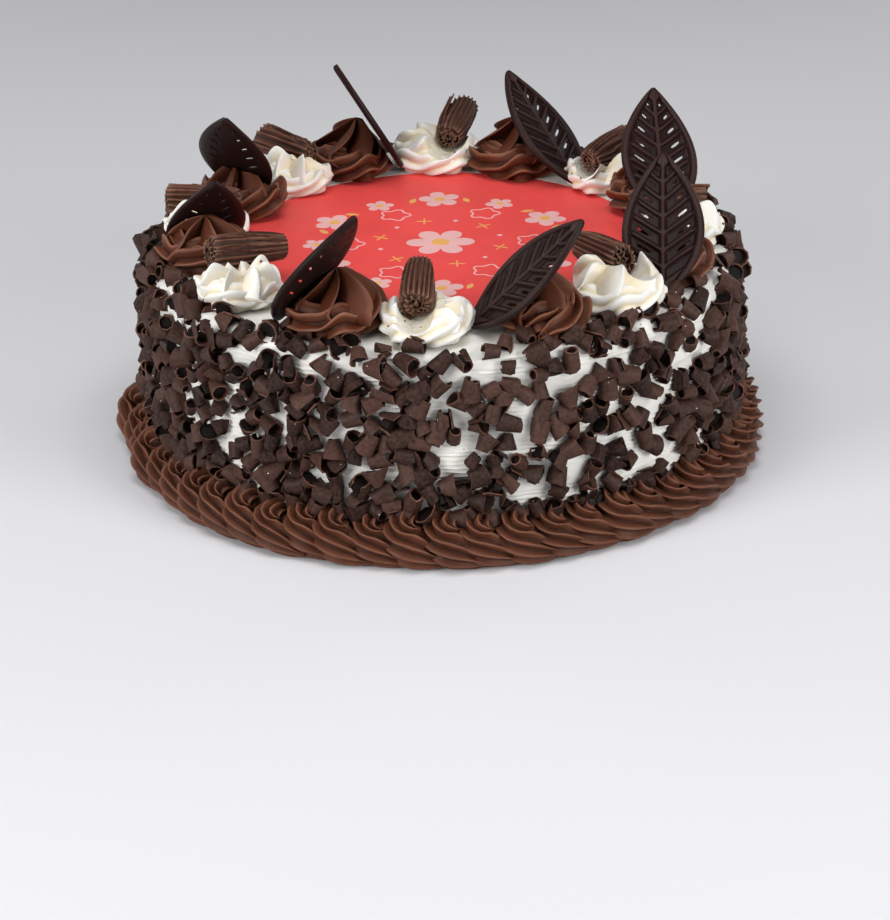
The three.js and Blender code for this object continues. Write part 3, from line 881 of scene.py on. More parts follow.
def border_tree():
    """Strokes set round the middle, each turned on by one pitch."""
    tree, given, result = new_group(
        "Piped border", "GeometryNodeTree",
        [
            ("Start", "NodeSocketGeometry", None), ("Strokes", "NodeSocketCollection", None),
            ("Kinds", "NodeSocketInt", 1), ("Count", "NodeSocketInt", 56),
            ("Unevenness", "NodeSocketFloat", 0.006), ("Closing place", "NodeSocketInt", 0),
            ("Finish", "NodeSocketMaterial", None),
        ],
        [("Border", "NodeSocketGeometry")],
    )
    spots = node(tree, "GeometryNodePoints", {"Count": given["Count"]})
    index = node(tree, "GeometryNodeInputIndex").outputs[0]
    pitch = maths(tree, "DIVIDE", 2 * math.pi, given["Count"])
    stray = maths(tree, "MULTIPLY", random_draw(tree, -1.0, 1.0, 3), given["Unevenness"])
    turn = maths(tree, "MULTIPLY_ADD", index, pitch, stray)
    turned = node(tree, "FunctionNodeEulerToRotation", {
        0: node(tree, "ShaderNodeCombineXYZ", {"Z": turn}).outputs[0],
    })
    closing = maths(tree, "COMPARE", index, given["Closing place"], 0.5)
    closing = maths(tree, "MULTIPLY", closing, given["Kinds"])
    kind = maths(tree, "MAXIMUM", closing, random_kind(tree, STROKE_KINDS - 1, 4))
    wide = random_draw(tree, 0.992, 1.006, 5)
    size = node(tree, "ShaderNodeCombineXYZ", {
        "X": wide, "Y": wide, "Z": random_draw(tree, 0.92, 1.08, 6),
    })
    placed = placed_shapes(tree, spots.outputs[0], given["Strokes"], kind, turned.outputs[0],
                           size.outputs[0])
    return made_real(tree, placed, given["Finish"], result)


class CAKE_OT_border(bpy.types.Operator):
    """Pipes the chocolate border round the foot"""

    bl_idname = "cake.border"
    bl_label = "Piped border"

    def execute(self, context):
        sizes, colours = context.scene.cake_sizes, context.scene.cake_colours
        # Painted shade in the creases at 0.3 of the border colour, and painted highlight on the
        # ridges.
        finish = piped_finish(
            "Border buttercream", darker(colours.border, 0.3), colours.border,
            colours.border_lip_highlight, roughness=0.5, grain=1100, lip_start=0.62, mottle=0.18,
            bump_depth=0.14 * MM, Specular_IOR_Level=0.18,
        )
        strokes = [border_stroke(i, sizes.stroke_size) for i in range(STROKE_KINDS + 1)]
        group = kept_aside("stroke_kinds", strokes)
        carrier = new_piece("border_start", [(0, 0, 0)], [])
        border = run_geometry_nodes("piped_border", carrier, border_tree(), {
            "Strokes": group, "Kinds": STROKE_KINDS, "Count": sizes.border_strokes,
            "Closing place": CLOSING_STROKE, "Finish": finish,
        })
        discard(group)
        settle(border, ["base_border"])
        return {"FINISHED"}


# ---- rosettes ---------------------------------------------------------------------------

# Share of the radius, share of the height and depth of the folds, from the foot up. Each
# rosette is a rope piped round in a coil, with a swirl pulled up over it. The petals of a
# cream swirl stand up round a hollow.
SWIRL_PROFILE = [
    (0.28, 0.20, 0.20), (0.60, 0.21, 0.60), (0.80, 0.27, 0.85), (0.88, 0.36, 0.95),
    (0.86, 0.46, 1.00), (0.79, 0.57, 1.00), (0.68, 0.69, 1.05), (0.54, 0.80, 1.10),
    (0.37, 0.89, 1.15), (0.19, 0.96, 1.10), (0.03, 1.00, 0.50),
]
CREAM_PROFILE = [
    (0.30, 0.18, 0.30), (0.70, 0.20, 0.70), (0.92, 0.30, 0.95), (0.95, 0.42, 1.00),
    (0.90, 0.55, 1.00), (0.84, 0.70, 1.10), (0.73, 0.84, 1.25), (0.55, 0.92, 1.30),
    (0.31, 0.85, 1.10), (0.14, 0.74, 0.80), (0.03, 0.68, 0.30),
]
SWIRL_ROWS = 64
CREAM_ROWS = 70
LOBE_SAMPLES = 26
COIL_SEED = 50  # added to a rosette's own seed
COIL_TURNS = 1.55
COIL_RIBS = 6
COIL_RIB_SAMPLES = 9
COIL_SECTIONS = 130


def piped_coil(rosette, fold_of, depth):
    """The ribbed rope that winds inwards and up under a rosette's swirl, about the origin."""
    seed = rosette.seed + COIL_SEED
    draw = np.random.default_rng(seed)
    share = np.linspace(0, 1, COIL_SECTIONS)
    turn = draw.uniform(0, 2 * math.pi) + 2 * math.pi * COIL_TURNS * share
    wave = np.sin(5 * turn + draw.uniform(0, 2 * math.pi)) + 0.5 * np.sin(8.3 * turn + seed)
    thick = 0.34 * rosette.radius * (1 - 0.25 * share) * np.clip(share / 0.07, 0.1, 1) ** 0.6
    out = rosette.radius * (0.72 - 0.34 * share) + 0.035 * rosette.radius * wave
    up = 0.72 * thick + rosette.height * (0.22 * share + 0.018 * wave)
    centre = np.stack([out * np.cos(turn), out * np.sin(turn), up], axis=1)
    side = np.stack([np.cos(turn), np.sin(turn), 0 * turn], axis=1)
    around = np.arange(COIL_RIBS * COIL_RIB_SAMPLES) / (COIL_RIBS * COIL_RIB_SAMPLES)
    ridge = fold_of(around * COIL_RIBS)
    angle = 2 * math.pi * around[None, :] + (0.9 * turn + 0.22 * wave)[:, None]
    reach = thick[:, None] * (1 - depth * (1 - ridge[None, :])) * (1 + 0.05 * wave[:, None])
    points = centre[:, None, :] + reach[..., None] * np.cos(angle)[..., None] * side[:, None, :]
    points[..., 2] += reach * np.sin(angle)
    points[..., 2] = np.maximum(points[..., 2], 0)
    skin, faces = capped_rings(points[:, ::-1, :])
    # The fold mask for the finish's painted shade in the creases and painted highlight on the
    # ridges.
    mask = np.repeat(ridge[None, ::-1], COIL_SECTIONS, axis=0).ravel()
    return skin, faces, np.append(mask, [0.4, 0.4])


def swirl_skin(rosette, profile, rows, fold_of, lean):
    """A star-piped swirl about the origin, whose folds hook back where it is lowest."""
    seed = rosette.seed
    draw = np.random.default_rng(seed)
    reach, rise, deep = smooth_line(profile, rows).T[:, :, None]
    around = np.arange(rosette.lobes * LOBE_SAMPLES) / (rosette.lobes * LOBE_SAMPLES)
    middles = (np.arange(rosette.lobes) + 0.5) / rosette.lobes

    def by_lobe(low, high):
        """A random number for each lobe, passing smoothly from one to the next."""
        return np.interp(around, middles, draw.uniform(low, high, rosette.lobes), period=1)

    strength, stray, wave = by_lobe(0.68, 1.1), by_lobe(-0.3, 0.3), by_lobe(0, 2 * math.pi)
    ridge = fold_of(around * rosette.lobes)
    up = np.linspace(0, 1, rows)[:, None]
    low_part = np.clip((0.5 - rise) / 0.36, 0, 1)
    turn = np.radians(rosette.twist) * (rise - 1) + np.radians(rosette.hook) * low_part**1.4

    fold = ridge * strength
    wide = rosette.radius * reach * (1 - rosette.depth * deep * (1 - fold))
    ruffle = np.sin(2 * math.pi * 1.5 * up + wave)
    wide = wide * (1 + 0.09 * low_part * ruffle)
    angle = 2 * math.pi * around + turn + stray / rosette.lobes
    angle = angle + lean * ridge**2 * np.sin(math.pi * np.clip(rise, 0, 1))
    angle = angle + 0.12 * ridge * np.sin(2 * math.pi * 1.7 * up + wave) * (1 - up)
    height = rosette.height * (rise + 0.12 * low_part * ruffle * np.sin(math.pi * up) * ridge)
    crest = np.exp(-(((up - 0.68) / 0.14) ** 2))
    stand = rosette.teeth * rosette.height * strength
    height = height + stand * crest * (ridge**2 - 0.35)
    bend = draw.uniform(-1, 1, 2) * 0.10 * rosette.radius
    x = wide * np.cos(angle) + bend[0] * rise**2
    y = wide * np.sin(angle) + bend[1] * rise**2
    points = np.stack([x, y, np.maximum(height, 0)], axis=2)
    spot = points.reshape(-1, 3)
    coarse = smooth_noise(spot, 6 * MM, seed).reshape(x.shape)
    fine = smooth_noise(spot, 1.6 * MM, seed + 40).reshape(x.shape)
    points[..., :2] *= (1 + (0.5 * MM * coarse + 0.1 * MM * fine) / rosette.radius)[..., None]
    # The fold mask: low in the creases and where the folds are shallow, where the finish paints
    # shade, high on the edges, where it paints highlight.
    mask = np.clip((0.62 * fold + 0.38 * ridge**8) * np.clip(0.35 + 0.65 * deep, 0, 1), 0, 1)
    skin, faces = capped_rings(points)
    return skin, faces, np.append(mask.ravel(), [0.3, 0.6])


def on_the_ring(rosette, points):
    """The rosette's points turned to face outwards and set on the cake."""
    facing = math.radians(rosette.angle)
    foot = (rosette.ring * math.cos(facing), rosette.ring * math.sin(facing), CAKE_HEIGHT)
    return points @ np.array(Matrix.Rotation(facing, 3, "Z")).T + foot


def piped_rosette(rosette, profile, rows, fold_of, coil_depth, lean):
    """Points, faces and fold mask of a rosette on the cake: a rope with a swirl over it."""
    coil, coil_faces, coil_fold = piped_coil(rosette, fold_of, coil_depth)
    swirl, swirl_faces, swirl_fold = swirl_skin(rosette, profile, rows, fold_of, lean)
    points, faces = joined([(coil, coil_faces), (swirl, swirl_faces)])
    return on_the_ring(rosette, points), faces, np.append(coil_fold, swirl_fold)


def soft_petal(share):
    """1 on the edge of a petal of cream and 0 in the crease beside it."""
    near = ribbon_edge(share, 0.6, 0.7, 0.9)
    return 0.7 * near * near * (3 - 2 * near) + 0.3 * near**5


def pressed_by_stick(points, name):
    """The points with a bed pressed in them for the stick that lies on them."""
    start, across, over, along, length, radius = frame_of_stick(name)
    placed = points - start
    far, side, high = placed @ along, placed @ across, placed @ over
    off = np.abs(side)
    under = -np.sqrt(np.maximum(radius**2 - off**2, 0))
    beside = 2.2 * np.maximum(off - radius, 0)
    beyond = 0.35 * np.maximum(np.maximum(-far, far - length), 0)
    bed = under + beside + beyond + 0.25 * MM * smooth_noise(points, 3 * MM, 5)
    drop = np.maximum(high - bed, 0)
    return points - drop[:, None] * over


def parted_by_leaf(points, name):
    """The points with those on the thin side of a leaf pushed back to where most of them are."""
    foot, across, along, face = leaf_frame(name)
    placed = points - foot
    far, off = placed @ along, placed @ face
    own_side = 1 if np.median(off) > 0 else -1
    past_rim = np.abs(placed @ across) - half_leaf(far / LEAF_LENGTH)
    covered = np.clip(1 - past_rim / (3 * MM), 0, 1) * np.clip(far / (6 * MM), 0, 1)
    push = np.maximum(LEAF_THICKNESS - own_side * off, 0) * covered
    return points + own_side * push[:, None] * face


class CAKE_OT_chocolate_rosettes(bpy.types.Operator):
    """Pipes the chocolate buttercream rosettes"""

    bl_idname = "cake.chocolate_rosettes"
    bl_label = "Chocolate rosettes"

    def execute(self, context):
        colours = context.scene.cake_colours
        # Painted shade in the creases at 0.35 of the body colour, and painted highlight on the
        # lips.
        finish = piped_finish(
            "Chocolate buttercream", darker(colours.ganache, 0.35), colours.ganache,
            colours.ganache_lip_highlight, roughness=0.46, grain=1000, lip_start=0.62, mottle=0.22,
            bump_depth=0.12 * MM, Specular_IOR_Level=0.18,
        )
        for number, rosette in enumerate(CHOCOLATE_ROSETTES, 1):
            points, faces, fold = piped_rosette(
                rosette, SWIRL_PROFILE, SWIRL_ROWS, ribbon_edge, coil_depth=0.48, lean=0.3
            )
            points = parted_by_leaf(points, f"leaf_{number}")
            piece = new_piece(f"piped_chocolate_{number}", points, faces, finish, fold=fold)
            settle(piece, [f"choc_rosette_{number}"])
        return {"FINISHED"}


class CAKE_OT_cream_rosettes(bpy.types.Operator):
    """Pipes the white cream rosettes"""

    bl_idname = "cake.cream_rosettes"
    bl_label = "Cream rosettes"

    def execute(self, context):
        colours = context.scene.cake_colours
        # Painted shade in the creases of the cream.
        finish = piped_finish(
            "Whipped cream", colours.cream_crease_shade, colours.cream, colours.cream,
            roughness=0.42, grain=700, crease_end=0.6, lip_start=0.95, mottle=0.03,
            bump_depth=0.04 * MM,
        )
        for number, rosette in enumerate(CREAM_ROSETTES, 1):
            points, faces, fold = piped_rosette(
                rosette, CREAM_PROFILE, CREAM_ROWS, soft_petal, coil_depth=0.3, lean=0.2
            )
            points = pressed_by_stick(points, f"choc_stick_{number}")
            piece = new_piece(f"piped_cream_{number}", points, faces, finish, fold=fold)
            settle(piece, [f"cream_rosette_{number}"])
        return {"FINISHED"}


# ---- crumbs -----------------------------------------------------------------------------

CRUMB_KINDS = 3
CRUMB_SEED = 70
CRUMB_REACH = 8 * MM  # from a stick's middle line, where crumbs lie thickest


def crumb_shape(index):
    """A broken lump of a few faces, one unit across."""
    draw = np.random.default_rng(CRUMB_SEED + index)
    rings = np.array([
        [(reach * draw.uniform(0.75, 1.2) * math.cos(a), reach * draw.uniform(0.75, 1.2)
          * math.sin(a), level) for a in np.linspace(0, 2 * math.pi, 6, endpoint=False)]
        for reach, level in ((0.34, -0.28), (0.5, 0.05), (0.3, 0.3))
    ])
    points, faces = capped_rings(rings)
    return new_piece(f"crumb_kind_{index}", points, faces, sharp=20)


def crumb_tree():
    """Crumbs dropped on a surface, each turned and sized its own way."""
    tree, given, result = new_group(
        "Drop crumbs", "GeometryNodeTree",
        [
            ("Surface", "NodeSocketGeometry", None), ("Crumbs", "NodeSocketCollection", None),
            ("Density", "NodeSocketFloat", 6000.0), ("Largest", "NodeSocketFloat", 2.0 * MM),
            ("Seed", "NodeSocketInt", 1), ("Finish", "NodeSocketMaterial", None),
        ],
        [("Crumbs", "NodeSocketGeometry")],
    )
    cover = node(tree, "GeometryNodeInputNamedAttribute", {"Name": "cover"}, data_type="FLOAT")
    spots = node(tree, "GeometryNodeDistributePointsOnFaces", {
        "Mesh": given["Surface"], "Seed": given["Seed"],
        "Density": maths(tree, "MULTIPLY", cover.outputs[0], given["Density"]),
    }, distribute_method="RANDOM")
    size = maths(tree, "MULTIPLY", random_draw(tree, 0.3, 1.0, 4), given["Largest"])
    turn = node(tree, "FunctionNodeRandomValue", {
        0: (0.0, 0.0, 0.0), 1: (6.3, 6.3, 6.3), "Seed": 5,
    }, data_type="FLOAT_VECTOR")
    placed = placed_shapes(tree, spots.outputs["Points"], given["Crumbs"],
                           random_kind(tree, CRUMB_KINDS - 1, 3), turn.outputs[0], size)
    return made_real(tree, placed, given["Finish"], result)


class CAKE_OT_crumbs(bpy.types.Operator):
    """Drops chocolate crumbs on the cream rosettes, most of them by the sticks"""

    bl_idname = "cake.crumbs"
    bl_label = "Chocolate crumbs"

    def execute(self, context):
        colours = context.scene.cake_colours
        finish = plain_finish("Crumb chocolate", colours.stick, 0.6, mottle=0.2)
        skins, cover = [], []
        for number in range(1, PLACES + 1):
            mesh = bpy.data.objects[f"piped_cream_{number}"].data
            points = np.array([vertex.co for vertex in mesh.vertices])
            start, _, _, along, length, _ = frame_of_stick(f"choc_stick_{number}")
            far = np.clip((points - start) @ along, 0, length)
            away = np.linalg.norm(points - start - far[:, None] * along, axis=1)
            facing_up = np.array([vertex.normal.z for vertex in mesh.vertices]) > 0.3
            cover.append(facing_up * np.exp(-np.maximum(away - CRUMB_REACH, 0) / (4 * MM)))
            skins.append((points, [list(face.vertices) for face in mesh.polygons]))
        points, faces = joined(skins)
        carrier = new_piece("crumb_bed", points, faces, cover=np.concatenate(cover))
        group = kept_aside("crumb_kinds", [crumb_shape(i) for i in range(CRUMB_KINDS)])
        crumbs = run_geometry_nodes("chocolate_crumbs", carrier, crumb_tree(), {
            "Crumbs": group, "Finish": finish,
        })
        discard(group)
        settle(crumbs, [])
        return {"FINISHED"}


# ---- leaves -----------------------------------------------------------------------------

VEINS = 7
# Share of the way from vein to vein, and height there from 0 in the cell to 1 on the vein.
VEIN_STEPS = [(0.0, 1.0), (0.10, 0.97), (0.16, 0.05), (0.30, 0.0), (0.42, 0.0), (0.60, 0.0),
              (0.72, 0.0), (0.84, 0.05), (0.90, 0.97)]
SLIT = (0.42, 0.6)
# Columns from the midrib out: where they lie between midrib and rim, and their height.
RIB_COLUMNS = [(0.0, 1.0), (0.7, 0.97), (1.0, 0.05)]
CELL_COLUMNS = [(0.10, "cell"), (0.16, "cell"), (0.40, "gap"), (0.80, "gap"), (0.90, "cell")]
RIM_COLUMNS = [(0.0, 0.05), (0.1, 0.98), (0.5, 1.04), (0.86, 0.95), (1.0, 0.3)]
MIDRIB = 1.2 * MM


def half_leaf(share):
    """Half the leaf's width at that share of its length, from foot to tip."""
    return 0.5 * LEAF_WIDTH * np.sin(math.pi * np.clip(share, 1e-6, 1) ** 0.87) ** 0.8


def leaf_columns(half):
    """Distance from the midrib, height and kind of each column, for that half width."""
    rib = min(MIDRIB, 0.2 * half)
    rim = half - min(LEAF_RIM, 0.5 * half)
    columns = [(rib * share, high, "rib") for share, high in RIB_COLUMNS]
    columns += [(rib + (rim - rib) * share, 0.0, kind) for share, kind in CELL_COLUMNS]
    columns += [(rim + (half - rim) * share, high, "rim") for share, high in RIM_COLUMNS]
    return columns


def leaf_rows():
    """Place along the midrib and height of each row, and whether a slit opens above it."""
    first, last = 0.07, 0.9
    rows = [(0.004, 1.0, False), (0.03, 0.9, False)]
    for vein in range(VEINS):
        for share, high in VEIN_STEPS:
            place = first + (last - first) * (vein + share) / VEINS
            opens = SLIT[0] <= share < SLIT[1] and 0 < vein
            rows.append((place, high, opens))
    rows += [(last, 1.0, False), (0.93, 0.95, False), (0.965, 0.9, False), (0.996, 0.9, False)]
    return rows


def leaf_mesh():
    """The flat leaf, foot at the origin, tip along +Y and its veined face towards +Z."""
    rows = leaf_rows()
    names, front, back = [], [], []
    for place, high, opens in rows:
        climb = 0.19 * (1 - math.exp(-place / 0.06)) * (1 - place**4)
        half_row = []
        for column in range(len(leaf_columns(0.01))):
            share = 0.0
            for _ in range(3):
                half = half_leaf(place + climb * share)
                out, level, kind = leaf_columns(half)[column]
                share = out / half
            relief = level if kind == "rim" else max(level, high)
            half_row.append((out, (place + climb * share) * LEAF_LENGTH, relief, kind, opens))
        mirrored = [(-out, along, relief, kind, slit)
                    for out, along, relief, kind, slit in reversed(half_row[1:])]
        names.append([(kind, slit) for _, _, _, kind, slit in mirrored + half_row])
        for out, along, relief, kind, _ in mirrored + half_row:
            half = half_leaf(along / LEAF_LENGTH)
            edge = max(0.0, 1 - (half - abs(out)) / (0.5 * LEAF_RIM)) ** 2
            front.append((out, along, (-0.5 + 1.9 * relief) * MM))
            back.append((out, along, -0.5 * LEAF_THICKNESS + 0.9 * MM * edge))
    columns = len(names[0])
    count = len(front)
    faces = []
    edges = {}
    for row in range(len(rows) - 1):
        for column in range(columns - 1):
            kinds = {names[row][column][0], names[row][column + 1][0]}
            if kinds == {"gap"} and names[row][column][1]:
                continue
            a = row * columns + column
            quad = [a, a + 1, a + columns + 1, a + columns]
            faces.append(quad)
            faces.append([corner + count for corner in reversed(quad)])
            for start, end in zip(quad, quad[1:] + quad[:1]):
                edges[(start, end)] = edges.get((start, end), 0) + 1
    for start, end in edges:
        if (end, start) not in edges:
            faces.append([start, start + count, end + count, end])
    relief = [(point[2] / MM + 0.5) / 1.9 for point in front]
    return np.array(front + back), faces, relief + [0.35] * count


def frame_of_whole_leaf(name):
    """Where a leaf stands that shows whole, measured on its solid."""
    corners = np.array([v.co for v in frame["nodes"][name].data.vertices])
    middle = corners.mean(axis=0)
    _, _, axes = np.linalg.svd(corners - middle, full_matrices=False)
    along, _, face = axes
    along = along * np.sign(along[2])
    face = face * np.sign(face[2])
    across = np.cross(along, face)
    heights = (corners - middle) @ along
    depths = (corners - middle) @ face
    sides = (corners - middle) @ across
    foot = middle + along * heights.min()
    foot = foot + face * (depths.min() + depths.max()) / 2
    foot = foot + across * (sides.min() + sides.max()) / 2
    return foot, across, along, face


# The leaf that is pushed in through the cream: the angle of its rosette, how far its foot
# lies behind it, outwards and above the top in millimetres, and its turns in degrees.
SUNK_LEAF = {"angle": 191, "back": 32, "out": -1, "lift": -11, "lean": 40, "turn": -6, "roll": -1}
SUNK_LEAF_NAME = "leaf_7"
RING_RADIUS = 104 * MM


def frame_of_sunk_leaf():
    """Where that leaf stands, as if all of it showed."""
    angle, lean, turn, roll = (
        math.radians(SUNK_LEAF[key]) for key in ("angle", "lean", "turn", "roll")
    )
    out = np.array([math.cos(angle), math.sin(angle), 0])
    along = np.array([-math.sin(angle), math.cos(angle), 0])
    up = np.array([0, 0, 1.0])
    forward = math.cos(turn) * along + math.sin(turn) * out
    sideways = math.cos(turn) * out - math.sin(turn) * along
    midrib = math.cos(lean) * up + math.sin(lean) * forward
    across = math.cos(roll) * sideways + math.sin(roll) * np.cross(midrib, sideways)
    face = np.cross(across, midrib)
    foot = (RING_RADIUS + SUNK_LEAF["out"] * MM) * out - SUNK_LEAF["back"] * MM * along
    foot = foot + (CAKE_HEIGHT + SUNK_LEAF["lift"] * MM) * up
    upward = np.sign(face[2])
    return foot, upward * across, midrib, upward * face


def leaf_frame(name):
    """Where that leaf stands: its foot, and its across, along and facing directions."""
    return frame_of_sunk_leaf() if name == SUNK_LEAF_NAME else frame_of_whole_leaf(name)


def cut_at_top(piece):
    """Takes away what stands below the top of the cream, and closes the cut."""
    shape = bmesh.new()
    shape.from_mesh(piece.data)
    cut = bmesh.ops.bisect_plane(
        shape, geom=[*shape.verts, *shape.edges, *shape.faces],
        plane_co=(0, 0, CAKE_HEIGHT), plane_no=(0, 0, 1), clear_inner=True,
    )
    rim = [item for item in cut["geom_cut"] if isinstance(item, bmesh.types.BMEdge)]
    bmesh.ops.holes_fill(shape, edges=rim, sides=0)
    shape.to_mesh(piece.data)
    shape.free()


def leaf_finish(colours):
    """Dark moulded chocolate: satin, with a painted highlight that makes the rim and the veins a
    little lighter.
    """
    material, tree, shader = new_finish("Moulded chocolate", 0.38, Specular_IOR_Level=0.11)
    cloud = noise(tree, 90.0, 5.0)
    # Painted highlight on the raised veins and rim, varied by the cloud.
    raised_highlight = map_range(tree, attribute(tree, "relief"), 0.55, 1.1)
    patchy = maths(tree, "MULTIPLY", raised_highlight, cloud)
    patchy = maths(tree, "MULTIPLY", patchy, 1.5, use_clamp=True)
    mixed = mix_colours(tree, patchy, rgba(colours.leaf), rgba(colours.leaf_vein_highlight))
    tree.links.new(mixed, shader.inputs["Base Color"])
    rough = map_range(tree, cloud, *NOISE_SPAN, 0.32, 0.48)
    tree.links.new(rough, shader.inputs["Roughness"])
    bump(tree, shader, noise(tree, 900.0, 3.0), 0.04 * MM)
    return material


class CAKE_OT_leaves(bpy.types.Operator):
    """Moulds the filigree chocolate leaves and stands them in their rosettes"""

    bl_idname = "cake.leaves"
    bl_label = "Chocolate leaves"

    def execute(self, context):
        finish = leaf_finish(context.scene.cake_colours)
        flat, faces, relief = leaf_mesh()
        for number in range(1, PLACES + 1):
            name = f"leaf_{number}"
            foot, across, along, face = leaf_frame(name)
            points = flat @ np.array([across, along, face]) + foot
            piece = new_piece(f"filigree_leaf_{number}", points, faces, finish, relief=relief)
            if name == SUNK_LEAF_NAME:
                cut_at_top(piece)
            rounding = piece.modifiers.new("Moulded edges", "SUBSURF")
            rounding.levels = rounding.render_levels = 1
            settle(piece, [name])
        return {"FINISHED"}


# ---- sticks -----------------------------------------------------------------------------

STICK_TURNS = 3.8
STICK_STEPS = 460
STICK_SECTIONS = 8
STICK_CORE = 0.9 * MM
STICK_SEED = 30


def folded_stick(radius, length, seed, sizes):
    """A thin sheet of chocolate, crumpled in small folds and rolled up into a bar."""
    draw = np.random.default_rng(seed)
    share = np.linspace(0, 1, STICK_STEPS)
    turn = 2 * math.pi * STICK_TURNS * np.sqrt(share)
    fold = 0.5 * sizes.fold_pitch
    half = 0.5 * sizes.sheet
    coil = STICK_CORE + (radius - STICK_CORE - 0.55 * fold) * turn / turn[-1]
    path = np.concatenate([[0], np.cumsum(np.hypot(np.diff(coil), coil[1:] * np.diff(turn)))])
    sections = []
    for level in range(STICK_SECTIONS):
        end = level / (STICK_SECTIONS - 1)
        drift = 0.5 * smooth_noise(
            np.stack([path, np.full_like(path, end * 8 * MM), 0 * path], axis=1), 5 * MM, seed)
        phase = 2 * math.pi * path / sizes.fold_pitch + 9 * drift
        rough = np.stack([path, np.full_like(path, end * 11 * MM), 0 * path], axis=1)
        uneven = smooth_noise(rough, 4.5 * MM, seed + 5)
        deep = 0.9 * fold * (1 + 0.7 * uneven) * np.clip(coil / (3 * MM), 0.3, 1)
        deep = deep * (1 - 0.55 * share**3)
        bulge = coil + deep * np.sin(phase) + 1.1 * MM * smooth_noise(rough, 6 * MM, seed + 7)
        bulge = bulge * (1 - 0.26 * (1 - end) ** 4)  # the inner end is rubbed round
        angle = turn + 0.45 * fold * np.cos(phase) / np.maximum(coil, 2 * MM)
        line = np.stack([bulge * np.cos(angle), 0.94 * bulge * np.sin(angle)], axis=1)
        along = np.gradient(line, axis=0)
        along /= np.linalg.norm(along, axis=1)[:, None]
        normal = np.stack([along[:, 1], -along[:, 0]], axis=1)
        jagged = smooth_noise(np.stack([path, 0 * path + end, 0 * path], axis=1), 9 * MM, seed + 9)
        jag = 2.0 * MM * jagged * (1 - 4 * end * (1 - end))
        height = length * end + jag
        for side in (half, -half):
            sections.append(np.column_stack([line + side * normal, height]))
    rings = np.array(sections).reshape(STICK_SECTIONS, 2, STICK_STEPS, 3)
    closed = np.concatenate([rings[:, 0], rings[:, 1, ::-1]], axis=1)
    columns = 2 * STICK_STEPS
    faces = ring_quads(STICK_SECTIONS, columns).tolist()
    last = (STICK_SECTIONS - 1) * columns
    for i in range(STICK_STEPS - 1):
        other, beside = columns - 1 - i, columns - 2 - i
        faces.append([i, other, beside, i + 1])
        faces.append([last + i, last + i + 1, last + beside, last + other])
    roll = draw.uniform(0, 2 * math.pi)
    turned = np.array(Matrix.Rotation(roll, 3, "Z"))
    edge = np.zeros((STICK_SECTIONS, columns))
    edge[[0, -1]] = 1
    # Painted light: 1 on the crests of the folds and 0 in their creases, for the finish's painted
    # highlight and shade.
    crest = 0.5 + 0.5 * np.sin(phase)
    lit = np.tile(np.concatenate([crest, crest[::-1]]), (STICK_SECTIONS, 1))
    return closed.reshape(-1, 3) @ turned.T, faces, edge.ravel(), lit.ravel()


def frame_of_stick(name):
    """Where a stick lies: the middle of one end, its directions, its length and radius."""
    corners = np.array([v.co for v in frame["nodes"][name].data.vertices])
    middle = corners.mean(axis=0)
    _, _, axes = np.linalg.svd(corners - middle, full_matrices=False)
    along = axes[0]
    if along @ [middle[0], middle[1], 0] < 0:
        along = -along
    reach = (corners - middle) @ along
    away = np.linalg.norm((corners - middle) - reach[:, None] * along, axis=1)
    across = np.cross((0, 0, 1.0), along)
    across /= np.linalg.norm(across)
    over = np.cross(along, across)
    start = middle + along * reach.min()
    return start, across, over, along, reach.max() - reach.min(), away.max()


def stick_finish(colours):
    """Folded milk chocolate: dull, with painted highlight on the crests of its folds and painted
    shade in their creases, and crumbly at its broken ends.
    """
    material, tree, shader = new_finish("Folded chocolate", 0.56, Specular_IOR_Level=0.18)
    cloud = map_range(tree, noise(tree, 260.0, 4.0), *NOISE_SPAN, 0.78, 1.2)
    # Painted shade in the creases of the folds and painted highlight on their crests.
    fold = map_range(tree, attribute(tree, "fold"), to_min=0.3, to_max=1.25)
    level = maths(tree, "MULTIPLY", cloud, fold)
    mixed = mix_colours(tree, attribute(tree, "edge"), rgba(colours.stick),
                        rgba(colours.stick_edge))
    tree.links.new(scale_vector(tree, mixed, level), shader.inputs["Base Color"])
    bump(tree, shader, noise(tree, 1300.0, 3.0), 0.12 * MM)
    return material


class CAKE_OT_sticks(bpy.types.Operator):
    """Rolls the folded chocolate sticks and lays them on the cream rosettes"""

    bl_idname = "cake.sticks"
    bl_label = "Folded sticks"

    def execute(self, context):
        sizes = context.scene.cake_sizes
        finish = stick_finish(context.scene.cake_colours)
        for number in range(1, PLACES + 1):
            start, across, over, along, length, radius = frame_of_stick(f"choc_stick_{number}")
            flat, faces, edge, lit = folded_stick(radius, length, STICK_SEED + number, sizes)
            points = flat @ np.array([across, over, along]) + start
            piece = new_piece(f"folded_stick_{number}", points, faces, finish, sharp=55,
                              edge=edge, fold=lit)
            settle(piece, [f"choc_stick_{number}"])
        return {"FINISHED"}


# ---- the icing disc and its print -------------------------------------------------------

def outline_blossom(size, petals=5, turn=0.0):
    """The outline of a plain blossom with round petals."""
    angle = np.linspace(0, 2 * math.pi, 16 * petals, endpoint=False)
    reach = size * (0.50 + 0.50 * np.abs(np.cos(petals * angle / 2)) ** 0.65)
    return np.stack([reach * np.cos(angle + turn), reach * np.sin(angle + turn)], axis=1)


def outline_sparkle(size, turn=0.0):
    """The outline of a four-pointed sparkle."""
    angle = np.linspace(0, 2 * math.pi, 48, endpoint=False)
    reach = size * (0.14 + 0.86 * np.abs(np.cos(2 * angle)) ** 9)
    return np.stack([reach * np.cos(angle + turn), reach * np.sin(angle + turn)], axis=1)


